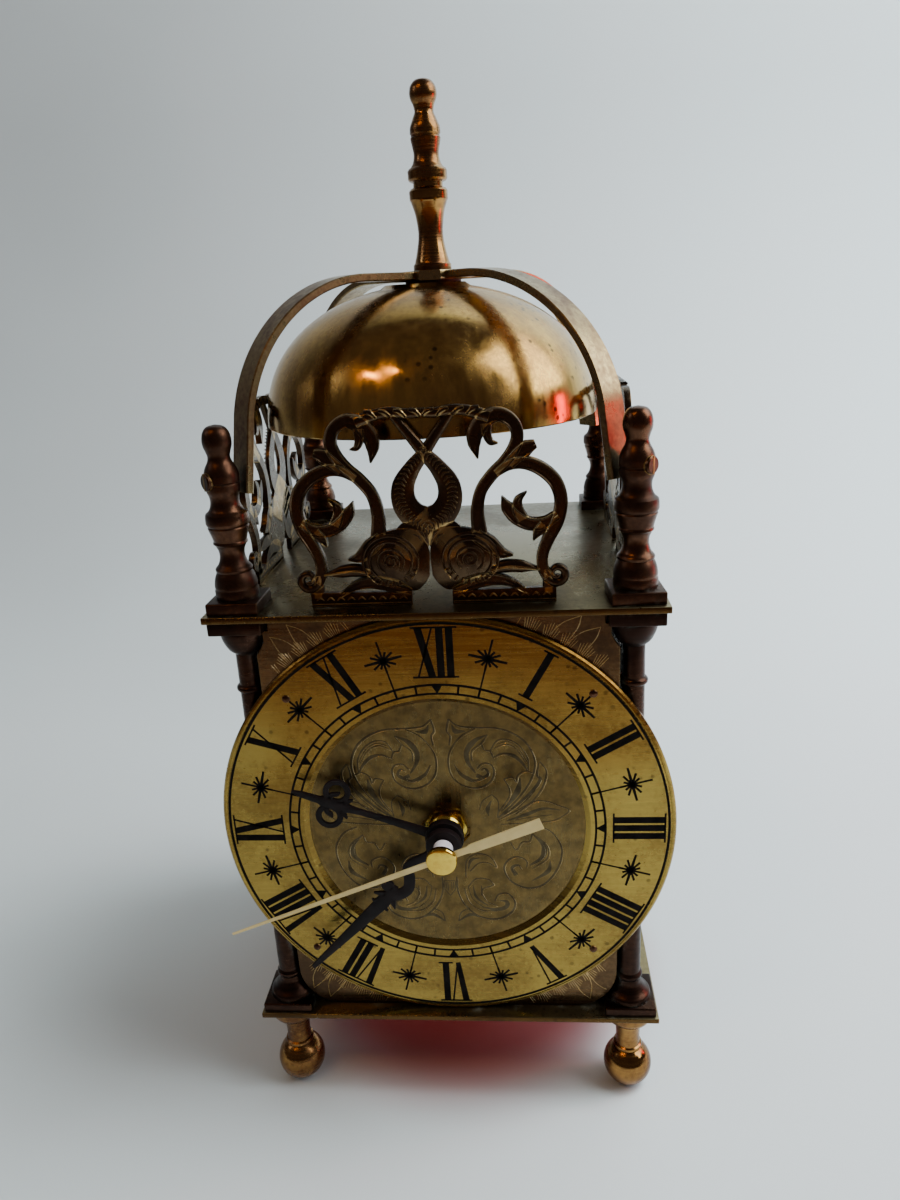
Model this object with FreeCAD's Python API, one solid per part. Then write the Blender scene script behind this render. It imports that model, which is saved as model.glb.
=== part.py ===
"""Small brass lantern clock with a battery movement, one STEP file per piece, in millimetres.

The origin is on the surface the clock stands on, below the middle of the case. +Z is up,
+X is to the right of someone reading the dial, and the dial faces -Y.
"""
import FreeCAD, Part
import math
import os
from FreeCAD import Vector

# Case: two square plates held apart by four turned columns
PLATE_SIDE = 98.7
BASE_BOTTOM = 24.0
BASE_TOP = 25.4
TOP_BOTTOM = 130.2
TOP_TOP = 131.7
COLUMN_AXIS = 42.65
BLOCK_SIDE = 12.2
CAPITAL_SIDE = 11.8
PLINTH_SIDE = 11.4
PLINTH_TOP = 134.4
STUD_R = 1.5
STUD_HOLE_R = 1.55

# Panels between the columns
PANEL_OUT = 45.4
PANEL_T = 1.0
PANEL_HALF = 39.4
PANEL_CORNER_R = 10.5
# Upper corner of a panel, cut to clear the column's capital
PANEL_NOTCH = [(39.4, 121.4), (38.6, 122.6), (37.6, 124.4), (37.6, 127.0), (36.3, 127.0)]
TAB_X = 20.0
TAB_W = 6.0
SLOT_GAP = 0.1

# Dial
DIAL_Z = 77.8
DIAL_R = 52.3
DIAL_OPENING_R = 32.0
RING_FRONT = -46.8
RING_BACK = -PANEL_OUT
RIVET_CIRCLE_R = 47.6

# Hands: planes along -Y, clock angles in degrees clockwise from twelve
HOUR_Y = -50.6
MINUTE_Y = -53.4
SECOND_Y = -58.4
CAP_FRONT = -59.6
HOUR_ANGLE = 290.0
MINUTE_ANGLE = 224.3
SECOND_ANGLE = 247.7
BOSS_R = 4.0
HOUR_BOSS_R = 4.4

# Movement: shaft radii and the free space between turning parts
SECOND_SHAFT_R = 0.6
MINUTE_PIPE_R = 1.65
HOUR_PIPE_R = 2.5
BUSH_R = 4.0
RUN = 0.06
PIVOT_R = 0.5
CASE_HALF = 28.0
CASE_WALL = 1.4
CASE_FRONT = -(PANEL_OUT - PANEL_T)
CASE_SPLIT = -36.3
CASE_BACK = -28.4
BAY_TOP = -10.6
BATTERY_R = 7.1
BATTERY_Z = -19.3

# Rear door
HINGE_X = -35.5
HINGE_PIN_R = 0.8
HINGE_HOLE_R = 0.86

# Bell and its cage
BELL_R = 40.2
BELL_RIM = 166.2
BELL_HEIGHT = 30.6
BELL_WALL = 1.2
BELL_SHIFT = -2.0
BELL_POWER = 2.15
HUB_HALF = 8.0
HUB_BOTTOM = 197.4
HUB_TOP = 199.5
STRAP_W = 6.3
STRAP_T = 1.7
STRAP_ARC_H = 33.4
STRAP_ARC_W = {"front_right": 41.0}
STRAP_ARC_END = 54.9
STRAP_END = 56.7
STRAP_FOOT = 156.8
SCREW_Z = 160.0
CAGE_STUD_R = 2.2

# Corner finials and frets
FINIAL_RHO = COLUMN_AXIS * math.sqrt(2)
FRET_OUT = 44.2
FRET_T = 1.5
FRET_H = 41.3

CORNERS = {"front_left": (-1, -1), "front_right": (1, -1), "rear_left": (-1, 1), "rear_right": (1, 1)}


# ---------------------------------------------------------------- shape helpers
def save(name, shape):
    """Write one piece, and check that it is made of sound closed solids."""
    if not shape.isValid() or not shape.Solids or shape.Volume <= 0:
        raise ValueError(name + " is not a sound solid")
    if len(shape.Solids) == 1:
        shape = shape.Solids[0]
    shape.exportStep("parts/" + name + ".step")
    print(f"{name:24s} {len(shape.Solids)} solid(s) {shape.Volume:10.2f} mm3")


def block(x0, x1, y0, y1, z0, z1):
    return Part.makeBox(x1 - x0, y1 - y0, z1 - z0, Vector(x0, y0, z0))


def pillar(x, y, z0, z1, r):
    return Part.makeCylinder(r, z1 - z0, Vector(x, y, z0))


def rod_y(x, z, y0, y1, r):
    return Part.makeCylinder(r, y1 - y0, Vector(x, y0, z), Vector(0, 1, 0))


def prism_y(points, y0, y1):
    """Closed outline of (x, z) points, given thickness from y0 to y1."""
    wire = Part.makePolygon([Vector(x, y0, z) for x, z in points + points[:1]])
    return Part.Face(wire).extrude(Vector(0, y1 - y0, 0))


def turned(x, y, runs):
    """Solid of revolution about a vertical line. Each run is ("line" | "curve", [(r, z), ...]),
    starts where the last one ended, and the first and last points lie on the axis."""
    edges = []
    for kind, points in runs:
        places = [Vector(r, 0, z) for r, z in points]
        if kind == "curve":
            curve = Part.BSplineCurve()
            curve.interpolate(places)
            edges.append(curve.toShape())
        else:
            edges += [Part.LineSegment(a, b).toShape() for a, b in zip(places, places[1:])]
    start, end = runs[0][1][0], runs[-1][1][-1]
    edges.append(Part.LineSegment(Vector(0, 0, end[1]), Vector(0, 0, start[1])).toShape())
    solid = Part.Face(Part.Wire(edges)).revolve(Vector(0, 0, 0), Vector(0, 0, 1), 360)
    solid.translate(Vector(x, y, 0))
    return solid


def fuse(shapes):
    return shapes[0].multiFuse(shapes[1:]).removeSplitter()


def turn_z(shape, degrees):
    copy = shape.copy()
    copy.rotate(Vector(0, 0, 0), Vector(0, 0, 1), degrees)
    return copy


def hex_y(z, across, y0, y1):
    """Hexagon nut blank about the dial's axis."""
    r = across / math.sqrt(3)
    corners = [(r * math.cos(math.radians(a)), z + r * math.sin(math.radians(a)))
               for a in range(-10, 350, 60)]
    return prism_y(corners, y0, y1)


# ---------------------------------------------------------------- case
def panel_slots():
    """Slots in the plates for the tabs of the three fixed panels."""
    slots = []
    for sx in (-1, 1):
        x = sx * TAB_X
        half = TAB_W / 2 + SLOT_GAP
        front = (-PANEL_OUT - SLOT_GAP, -PANEL_OUT + PANEL_T + SLOT_GAP)
        slots.append((x - half, x + half, front[0], front[1]))
        for side in (-1, 1):
            near, far = sorted((side * (PANEL_OUT + SLOT_GAP), side * (PANEL_OUT - PANEL_T - SLOT_GAP)))
            slots.append((near, far, x - half, x + half))
    return slots


def plate(z0, z1):
    half = PLATE_SIDE / 2
    shape = block(-half, half, -half, half, z0, z1)
    holes = [pillar(sx * COLUMN_AXIS, sy * COLUMN_AXIS, z0, z1, STUD_HOLE_R)
             for sx, sy in CORNERS.values()]
    holes += [block(x0, x1, y0, y1, z0, z1) for x0, x1, y0, y1 in panel_slots()]
    holes.append(pillar(HINGE_X, PANEL_OUT - PANEL_T / 2, z0, z1, HINGE_HOLE_R))
    return shape.cut(Part.makeCompound(holes))


def base_plate():
    return plate(BASE_BOTTOM, BASE_TOP)


def top_plate():
    shape = plate(TOP_BOTTOM, TOP_TOP)
    slots = [block(x0, x1, y0, y1, TOP_BOTTOM, TOP_TOP) for x0, x1, y0, y1 in fret_tenon_slots()]
    return shape.cut(Part.makeCompound(slots))


def column(sx, sy):
    x, y = sx * COLUMN_AXIS, sy * COLUMN_AXIS
    half, top = BLOCK_SIDE / 2, CAPITAL_SIDE / 2
    shaft = turned(x, y, [
        ("line", [(0, 27.6), (5.3, 27.6), (5.4, 28.2)]),
        ("curve", [(5.4, 28.2), (4.35, 29.6), (3.3, 31.2), (2.75, 32.8)]),
        ("line", [(2.75, 32.8), (2.9, 33.2)]),
        ("curve", [(2.9, 33.2), (3.2, 34.0), (2.9, 34.8)]),
        ("line", [(2.9, 34.8), (2.7, 36.0), (2.7, 45.0), (2.4, 112.0), (2.8, 112.2)]),
        ("curve", [(2.8, 112.2), (3.05, 112.9), (2.8, 113.6)]),
        ("line", [(2.8, 113.6), (2.4, 114.0), (2.35, 121.5)]),
        ("curve", [(2.35, 121.5), (3.6, 123.3), (4.6, 125.2), (5.0, 127.4)]),
        ("line", [(5.0, 127.4), (0, 127.4)]),
    ])
    foot_block = block(x - half, x + half, y - half, y + half, BASE_TOP, 27.8)
    capital = block(x - top, x + top, y - top, y + top, 127.3, TOP_BOTTOM)
    studs = [pillar(x, y, 17.0, BASE_TOP, STUD_R), pillar(x, y, TOP_BOTTOM, 143.0, STUD_R)]
    return fuse([shaft, foot_block, capital] + studs)


def ball_foot(sx, sy):
    x, y = sx * COLUMN_AXIS, sy * COLUMN_AXIS
    ball_r, flat_r = 6.0, 1.5
    centre = math.sqrt(ball_r ** 2 - flat_r ** 2)
    neck = math.acos(3.1 / ball_r)
    start = -math.acos(flat_r / ball_r)
    ball = [(ball_r * math.cos(a), centre + ball_r * math.sin(a))
            for a in (start + (neck - start) * i / 8 for i in range(9))]
    ball[0] = (flat_r, 0.0)
    foot = turned(x, y, [
        ("line", [(0, 0), (flat_r, 0)]),
        ("curve", ball),
        ("line", [ball[-1], (3.5, 11.2), (3.5, 12.0), (3.05, 12.4)]),
        ("curve", [(3.05, 12.4), (3.0, 15.0), (3.3, 19.6)]),
        ("line", [(3.3, 19.6), (4.6, 20.4)]),
        ("curve", [(4.6, 20.4), (5.9, 21.6), (6.2, 23.0)]),
        ("line", [(6.2, 23.0), (6.2, BASE_BOTTOM), (0, BASE_BOTTOM)]),
    ])
    return foot.cut(pillar(x, y, 17.0, BASE_BOTTOM, STUD_R))


def plinth_blocks():
    """The four square blocks below the corner finials."""
    half = PLINTH_SIDE / 2
    blocks = []
    for sx, sy in CORNERS.values():
        x, y = sx * COLUMN_AXIS, sy * COLUMN_AXIS
        solid = block(x - half, x + half, y - half, y + half, TOP_TOP, PLINTH_TOP)
        blocks.append(solid.cut(pillar(x, y, TOP_TOP, PLINTH_TOP, STUD_HOLE_R)))
    return Part.makeCompound(blocks)


def corner_finial(sx, sy):
    x, y = sx * COLUMN_AXIS, sy * COLUMN_AXIS
    shape = turned(x, y, [
        ("line", [(0, PLINTH_TOP), (4.66, PLINTH_TOP), (4.66, 136.5)]),
        ("curve", [(4.66, 136.5), (4.45, 138.2), (3.72, 140.4)]),
        ("line", [(3.72, 140.4), (3.9, 141.0)]),
        ("curve", [(3.9, 141.0), (2.95, 142.6), (2.66, 144.2), (3.3, 146.3)]),
        ("line", [(3.3, 146.3), (3.64, 146.6), (3.5, 147.1)]),
        ("curve", [(3.5, 147.1), (3.9, 148.6), (4.4, 150.2)]),
        ("line", [(4.4, 150.2), (4.25, 150.5), (4.53, 150.9), (4.53, 152.2), (4.45, 153.0)]),
        ("curve", [(4.45, 153.0), (3.3, 154.5), (3.02, 155.9), (3.5, 157.8), (3.6, 159.2)]),
        ("line", [(3.6, 159.2), (3.4, 159.4), (3.6, 159.6)]),
        ("curve", [(3.6, 159.6), (3.55, 161.6), (2.75, 163.4), (2.3, 164.7), (2.6, 166.0)]),
        ("curve", [(2.6, 166.0), (2.98, 168.3), (2.2, 170.5), (0, 171.4)]),
    ])
    bore = pillar(x, y, PLINTH_TOP, 143.0, STUD_R)
    out = Vector(sx, sy, 0).normalize()
    cross = Part.makeCylinder(1.05, 20, Vector(0, 0, SCREW_Z) + out * (FINIAL_RHO - 10), out)
    seat = Part.makeCylinder(2.0, 3, Vector(0, 0, SCREW_Z) + out * (FINIAL_RHO + 2.9), out)
    face = Part.makeCylinder(5.0, 3, Vector(0, 0, SCREW_Z) + out * (STRAP_END - 3), out)
    return shape.cut(Part.makeCompound([bore, cross, seat])).cut(face)


# ---------------------------------------------------------------- panels and door
def panel(tabs):
    """Front panel blank in the X-Z plane with rounded lower corners and notched upper ones."""
    r, low, high = PANEL_CORNER_R, BASE_TOP, TOP_BOTTOM
    y0 = -PANEL_OUT
    flat = PANEL_HALF - r
    diag = r * math.sqrt(0.5)
    right_arc = Part.Arc(Vector(flat, y0, low), Vector(flat + diag, y0, low + r - diag),
                         Vector(PANEL_HALF, y0, low + r)).toShape()
    left_arc = Part.Arc(Vector(-PANEL_HALF, y0, low + r), Vector(-flat - diag, y0, low + r - diag),
                        Vector(-flat, y0, low)).toShape()
    side = [(PANEL_HALF, low + r)] + PANEL_NOTCH + [(PANEL_NOTCH[-1][0], high)]
    upper = [Vector(x, y0, z) for x, z in side] + [Vector(-x, y0, z) for x, z in reversed(side)]
    edges = [right_arc] + Part.makePolygon(upper).Edges + [left_arc]
    edges.append(Part.LineSegment(Vector(-flat, y0, low), Vector(flat, y0, low)).toShape())
    shape = Part.Face(Part.Wire(Part.__sortEdges__(edges))).extrude(Vector(0, PANEL_T, 0))
    if not tabs:
        return shape
    pieces = [shape]
    for sx in (-1, 1):
        x0, x1 = sx * TAB_X - TAB_W / 2, sx * TAB_X + TAB_W / 2
        pieces.append(block(x0, x1, y0, y0 + PANEL_T, BASE_BOTTOM + 0.2, BASE_TOP))
        pieces.append(block(x0, x1, y0, y0 + PANEL_T, TOP_BOTTOM, TOP_TOP - 0.2))
    return fuse(pieces)


def front_plate():
    holes = [rod_y(0, DIAL_Z, -PANEL_OUT, -PANEL_OUT + PANEL_T, BUSH_R)]
    holes += [rod_y(x, z, -PANEL_OUT, -PANEL_OUT + PANEL_T, 0.9) for x, z in rivet_places()]
    return panel(True).cut(Part.makeCompound(holes))


def rear_door():
    """Panel hung on two pivot pins that turn in the plates."""
    blank = turn_z(panel(False), 180)
    gap = 0.3
    trim = block(-60, 60, 40, 50, 0, BASE_TOP + gap)
    trim = trim.fuse(block(-60, 60, 40, 50, TOP_BOTTOM - gap, 200))
    y = PANEL_OUT - PANEL_T / 2
    pins = [pillar(HINGE_X, y, BASE_BOTTOM + 0.2, BASE_TOP + 4, HINGE_PIN_R),
            pillar(HINGE_X, y, TOP_BOTTOM - 4, TOP_TOP - 0.2, HINGE_PIN_R)]
    hole = rod_y(30, DIAL_Z, PANEL_OUT - PANEL_T, PANEL_OUT, 1.2)
    return fuse([blank.cut(trim)] + pins).cut(hole)


def door_knob():
    knob = turned(0, 0, [
        ("line", [(0, -1.6), (1.2, -1.6), (1.2, 0), (2.8, 0), (2.8, 0.8), (1.5, 1.3)]),
        ("curve", [(1.5, 1.3), (1.25, 3.9), (1.5, 7.4)]),
        ("curve", [(1.5, 7.4), (2.9, 9.2), (2.6, 11.4), (1.2, 12.6), (0, 12.9)]),
    ])
    knob.rotate(Vector(0, 0, 0), Vector(1, 0, 0), -90)
    knob.translate(Vector(30, PANEL_OUT, DIAL_Z))
    return knob


# ---------------------------------------------------------------- dial
def rivet_places():
    reach = RIVET_CIRCLE_R * math.sqrt(0.5)
    return [(sx * reach, DIAL_Z + sz * reach) for sx in (-1, 1) for sz in (-1, 1)]


def chapter_ring():
    ring = rod_y(0, DIAL_Z, RING_FRONT, RING_BACK, DIAL_R)
    opening = rod_y(0, DIAL_Z, RING_FRONT, RING_BACK, DIAL_OPENING_R)
    bevel = Part.makeCone(DIAL_OPENING_R + 1.1, DIAL_OPENING_R, 0.9,
                          Vector(0, RING_FRONT, DIAL_Z), Vector(0, 1, 0))
    holes = [rod_y(x, z, RING_FRONT, RING_BACK, 0.9) for x, z in rivet_places()]
    return ring.cut(Part.makeCompound([opening] + holes)).cut(bevel)


def dial_centre():
    disc = rod_y(0, DIAL_Z, RING_BACK - 0.4, RING_BACK, DIAL_OPENING_R - 0.05)
    return disc.cut(rod_y(0, DIAL_Z, RING_BACK - 0.4, RING_BACK, BUSH_R))


def dial_rivets():
    """Four small rivets that hold the ring on the front plate."""
    rivets = []
    for x, z in rivet_places():
        shank = rod_y(x, z, RING_FRONT, CASE_FRONT + 0.5, 0.9)
        head = rod_y(x, z, RING_FRONT - 0.25, RING_FRONT, 1.3)
        tail = rod_y(x, z, CASE_FRONT, CASE_FRONT + 0.5, 1.4)
        rivets.append(fuse([shank, head, tail]))
    return Part.makeCompound(rivets)


def dial_washer():
    disc = rod_y(0, DIAL_Z, RING_BACK - 0.8, RING_BACK - 0.4, 4.9)
    return disc.cut(rod_y(0, DIAL_Z, RING_BACK - 0.8, RING_BACK - 0.4, BUSH_R))


def hex_nut():
    y1 = RING_BACK - 0.8
    nut = hex_y(DIAL_Z, 10.0, y1 - 1.6, y1)
    return nut.cut(rod_y(0, DIAL_Z, y1 - 1.6, y1, BUSH_R))


# ---------------------------------------------------------------- hands
def hand_place(along, across, clock_angle):
    """Point on a hand, along its length and to its right, in (x, z)."""
    a = math.radians(clock_angle)
    return (along * math.sin(a) + across * math.cos(a),
            DIAL_Z + along * math.cos(a) - across * math.sin(a))


def hand_blade(stations, clock_angle, y0, y1):
    """Flat blade from (along, across, width) stations."""
    right = [hand_place(s, c + w / 2, clock_angle) for s, c, w in stations]
    left = [hand_place(s, c - w / 2, clock_angle) for s, c, w in reversed(stations)]
    return prism_y(right + left, y0, y1)


def hand_loop(along, across, outer, inner, clock_angle, y0, y1):
    x, z = hand_place(along, across, clock_angle)
    return rod_y(x, z, y0, y1, outer).cut(rod_y(x, z, y0, y1, inner))


def hour_hand():
    y0, y1 = HOUR_Y, HOUR_Y + 0.5
    parts = [rod_y(0, DIAL_Z, HOUR_Y - 0.5, HOUR_Y + 1.2, HOUR_BOSS_R),
             hand_blade([(3, 0, 2.6), (9, 0.8, 1.8), (14, 0.4, 1.6), (18.6, 0, 1.8)], HOUR_ANGLE, y0, y1),
             hand_blade([(21.5, 0, 2.4), (25, 0, 4.2), (29, 0, 2.2), (36, 0, 0.7)], HOUR_ANGLE, y0, y1)]
    parts += [hand_loop(20.3, side * 2.5, 3.2, 1.7, HOUR_ANGLE, y0, y1) for side in (-1, 1)]
    return fuse(parts).cut(rod_y(0, DIAL_Z, HOUR_Y - 2, HOUR_Y + 2, HOUR_PIPE_R))


def minute_hand():
    y0, y1 = MINUTE_Y, MINUTE_Y + 0.5
    parts = [rod_y(0, DIAL_Z, MINUTE_Y - 0.5, MINUTE_Y + 1.0, BOSS_R),
             hand_blade([(3, 0, 2.6), (7, 2.2, 2.2), (10.5, 2.4, 2.2), (14, 0.4, 2.4), (17, 0, 3.2)],
                        MINUTE_ANGLE, y0, y1),
             hand_blade([(14.5, 0, 3.0), (18, 0, 5.6), (20, 0, 3.4), (24, 0, 4.2), (47, 0, 1.3)],
                        MINUTE_ANGLE, y0, y1)]
    return fuse(parts).cut(rod_y(0, DIAL_Z, MINUTE_Y - 2, MINUTE_Y + 2, MINUTE_PIPE_R))


def second_hand():
    blade = hand_blade([(-23.7, 0, 3.0), (-5, 0, 1.4), (10, 0, 1.2), (53.7, 0, 0.6)],
                       SECOND_ANGLE, SECOND_Y, SECOND_Y + 0.3)
    tube = rod_y(0, DIAL_Z, SECOND_Y, SECOND_Y + 4.1, 2.2)
    bore = rod_y(0, DIAL_Z, SECOND_Y, SECOND_Y + 5, SECOND_SHAFT_R)
    return fuse([blade, tube]).cut(bore)


def second_cap():
    cap = rod_y(0, DIAL_Z, CAP_FRONT, SECOND_Y, 3.4)
    edge = [e for e in cap.Edges if abs(e.BoundBox.YMax - CAP_FRONT) < 1e-6]
    return cap.makeFillet(0.35, edge)


# ---------------------------------------------------------------- bell and cage
def bell_curve(radius, height, steps=10):
    """Side of the bell, from the crown to the rim, a little fuller than an ellipse."""
    points = []
    for i in range(steps + 1):
        a = math.radians(14 + 76 * i / steps)
        r = radius * math.sin(a) ** (2 / BELL_POWER)
        z = BELL_RIM + height * math.cos(a) ** (2 / BELL_POWER) if i < steps else BELL_RIM
        points.append((r, z))
    return points


def bell():
    outer = bell_curve(BELL_R, BELL_HEIGHT)
    inner = bell_curve(BELL_R - BELL_WALL, BELL_HEIGHT - BELL_WALL)
    crown = BELL_RIM + BELL_HEIGHT
    shape = turned(BELL_SHIFT, 0, [
        ("line", [(0, crown), (outer[0][0] - 2, crown), outer[0]]),
        ("curve", outer),
        ("line", [outer[-1], inner[-1]]),
        ("curve", list(reversed(inner))),
        ("line", [inner[0], (inner[0][0] - 2, crown - BELL_WALL), (0, crown - BELL_WALL)]),
    ])
    return shape.cut(pillar(BELL_SHIFT, 0, crown - 5, crown + 5, 4.4))


def bell_spacer():
    """Thin washer between the hub and the crown of the bell."""
    crown = BELL_RIM + BELL_HEIGHT
    disc = pillar(0, 0, crown, HUB_BOTTOM, 6.6)
    return disc.cut(pillar(0, 0, crown, HUB_BOTTOM, CAGE_STUD_R + RUN))


def bell_nut():
    """Flanged nut that clamps the bell from inside."""
    top = BELL_RIM + BELL_HEIGHT - BELL_WALL
    flange = pillar(0, 0, top - 1.0, top, 6.3)
    r = 8.0 / math.sqrt(3)
    corners = [Vector(r * math.cos(math.radians(a)), r * math.sin(math.radians(a)), top - 4.2)
               for a in range(0, 361, 60)]
    nut = Part.Face(Part.makePolygon(corners)).extrude(Vector(0, 0, 3.4))
    return fuse([flange, nut]).cut(pillar(0, 0, top - 5, top + 1, CAGE_STUD_R))


def bell_cage_hub():
    square = block(-HUB_HALF, HUB_HALF, -HUB_HALF, HUB_HALF, HUB_BOTTOM, HUB_TOP)
    corner_cut = pillar(0, 0, HUB_BOTTOM, HUB_TOP, HUB_HALF * 1.12)
    shape = turn_z(square, 45).common(corner_cut)
    return shape.cut(pillar(0, 0, HUB_BOTTOM, HUB_TOP, CAGE_STUD_R + RUN))


def bell_strap(sx, sy, width=STRAP_ARC_H):
    """Flat strip that arches from the hub down to the inner side of one corner finial.
    width is how far the arch reaches sideways; a wider one has a lower shoulder."""
    top = HUB_TOP - 0.2
    cx, cz = STRAP_ARC_END - width, top - STRAP_ARC_H
    lean = math.atan2(STRAP_END - STRAP_ARC_END, cz - STRAP_FOOT)
    end = math.atan2(width, STRAP_ARC_H * math.tan(lean))
    outer, inner = [], []
    for i in range(9):
        a = end * i / 8
        point = Vector(cx + width * math.sin(a), 0, cz + STRAP_ARC_H * math.cos(a))
        out = Vector(STRAP_ARC_H * math.sin(a), 0, width * math.cos(a)).normalize()
        outer.append(point)
        inner.append(point - out * STRAP_T)
    down = Vector(math.sin(lean), 0, -math.cos(lean))
    level = Vector(1, 0, 0)

    def arc(points):
        curve = Part.BSplineCurve()
        curve.interpolate(Points=points, InitialTangent=level, FinalTangent=down)
        return curve.toShape()

    foot_out = Vector(STRAP_END, 0, STRAP_FOOT)
    foot_in = foot_out - Vector(STRAP_T * math.cos(lean), 0, STRAP_T * math.sin(lean))
    edges = [Part.LineSegment(Vector(HUB_HALF, 0, top), outer[0]).toShape(), arc(outer)]
    edges += Part.makePolygon([outer[-1], foot_out, foot_in, inner[-1]]).Edges
    edges += [arc(inner), Part.LineSegment(inner[0], Vector(HUB_HALF, 0, top - STRAP_T)).toShape(),
              Part.LineSegment(Vector(HUB_HALF, 0, top - STRAP_T), Vector(HUB_HALF, 0, top)).toShape()]
    face = Part.Face(Part.Wire(Part.__sortEdges__(edges)))
    face.translate(Vector(0, -STRAP_W / 2, 0))
    strap = face.extrude(Vector(0, STRAP_W, 0))
    hole = Part.makeCylinder(1.0, 20, Vector(45, 0, SCREW_Z), Vector(1, 0, 0))
    strap = strap.cut(hole)
    return turn_z(strap, math.degrees(math.atan2(sy, sx)))


def strap_screws():
    """Slotted screws that go through the finials into the feet of the straps."""
    head_at = FINIAL_RHO + 2.9
    screws = []
    for sx, sy in CORNERS.values():
        axis = Vector(1, 0, 0)
        shank = Part.makeCylinder(1.0, head_at - 53.5, Vector(53.5, 0, SCREW_Z), axis)
        head = Part.makeCylinder(1.85, 1.2, Vector(head_at, 0, SCREW_Z), axis)
        slot = block(head_at + 0.7, head_at + 2, -0.22, 0.22, SCREW_Z - 2, SCREW_Z + 2)
        screws.append(turn_z(fuse([shank, head]).cut(slot), math.degrees(math.atan2(sy, sx))))
    return Part.makeCompound(screws)


def top_finial():
    shape = turned(0, 0, [
        ("line", [(0, 187.0), (CAGE_STUD_R, 187.0), (CAGE_STUD_R, HUB_TOP), (4.42, HUB_TOP), (4.42, 201.0)]),
        ("line", [(4.42, 201.0), (4.0, 201.7)]),
        ("curve", [(4.0, 201.7), (3.3, 204.6), (2.9, 207.8), (3.2, 211.2), (4.23, 214.6)]),
        ("line", [(4.23, 214.6), (4.4, 215.0), (4.4, 216.8), (3.4, 217.3), (3.4, 218.4)]),
        ("line", [(3.4, 218.4), (4.45, 219.0), (4.5, 221.0), (3.84, 221.5)]),
        ("curve", [(3.84, 221.5), (3.1, 222.8), (2.87, 224.3), (3.3, 226.2), (3.46, 227.6)]),
        ("line", [(3.46, 227.6), (3.25, 228.0), (3.46, 228.4)]),
        ("curve", [(3.46, 228.4), (3.2, 230.4), (2.3, 232.2), (2.13, 233.2), (2.5, 234.4)]),
        ("curve", [(2.5, 234.4), (3.08, 236.6), (2.3, 238.5), (0, 239.3)]),
    ])
    return shape


# ---------------------------------------------------------------- frets
def fret_tenon_slots():
    """Slots in the top plate for the two tenons of each fret, as (x0, x1, y0, y1)."""
    slots = []
    for s in (-1, 1):
        u0, u1 = s * 16.0 - 2.1, s * 16.0 + 2.1
        near, far = FRET_OUT - FRET_T - 0.1 + 0.25, FRET_OUT - 0.15
        slots.append((u0, u1, -far, -near))
        slots.append((-far, -near, u0, u1))
        slots.append((near, far, u0, u1))
    return slots


def fret_band(points, width):
    """Curved strip of even width along a smooth line of (x, z) points."""
    curve = Part.BSplineCurve()
    curve.interpolate([Vector(x, 0, z) for x, z in points])
    first, last = curve.FirstParameter, curve.LastParameter
    steps = 4 * len(points)
    sides = ([], [])
    for i in range(steps + 1):
        t = first + (last - first) * i / steps
        p, d = curve.value(t), curve.tangent(t)[0]
        n = Vector(-d.z, 0, d.x)
        sides[0].append((p.x + n.x * width / 2, p.z + n.z * width / 2))
        sides[1].append((p.x - n.x * width / 2, p.z - n.z * width / 2))
    return prism_y(sides[0] + sides[1][::-1], 0, FRET_T)


def fret_half():
    """Right half of a fret, standing on z = 0: one dolphin with its ring and scrolls."""
    def disc(x, z, r):
        return rod_y(x, z, 0, FRET_T, r)

    ring = disc(19.3, 21.6, 9.3).cut(disc(19.3, 21.6, 6.6))
    parts = [
        block(4.3, 26.5, 0, FRET_T, 0, 3.0),
        block(13.9, 18.1, 0.2, FRET_T - 0.2, -1.3, 0.5),
        prism_y([(3.0, 6.0), (6.5, 3.0), (13.0, 2.5), (18.5, 2.8), (14.5, 9.5), (9.5, 15.5),
                 (3.5, 18.5), (1.2, 13.0)], 0, FRET_T),
        prism_y([(12.5, 5.2), (22.5, 6.6), (22.5, 7.4), (12.5, 10.5)], 0, FRET_T),
        fret_band([(3.0, 15.5), (-2.6, 20.5), (-5.0, 26.0), (-2.4, 31.0), (2.5, 35.5), (5.5, 39.6)], 3.4),
        fret_band([(26.6, 2.0), (28.0, 5.0), (27.0, 8.0), (24.8, 10.5), (25.0, 14.5)], 2.4),
        fret_band([(13.0, 15.5), (11.6, 19.0), (13.4, 24.5), (18.5, 28.5), (21.0, 32.5), (20.2, 37.0),
                   (16.5, 39.8), (13.0, 38.6), (11.9, 35.0), (11.0, 31.5)], 2.6),
        fret_band([(12.5, 6.0), (12.2, 11.0), (11.6, 15.0), (11.6, 19.0)], 2.4),
        fret_band([(17.0, 12.0), (19.6, 15.5), (16.8, 19.0)], 2.2),
        prism_y([(20.5, 29.5), (23.4, 32.2), (22.4, 34.4), (18.8, 32.2)], 0, FRET_T),
        prism_y([(-0.1, 39.6), (16.0, 38.4), (17.0, 40.2), (7.0, 41.2), (-0.1, FRET_H)], 0, FRET_T),
        ring,
    ]
    return fuse(parts)


def fret():
    """Whole fret across the front: two dolphins with crossed tails below a twisted rail."""
    right = fret_half()
    left = right.mirror(Vector(0, 0, 0), Vector(1, 0, 0))
    shape = fuse([right, left])
    shape.translate(Vector(0, -FRET_OUT, TOP_TOP))
    return shape


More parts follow.
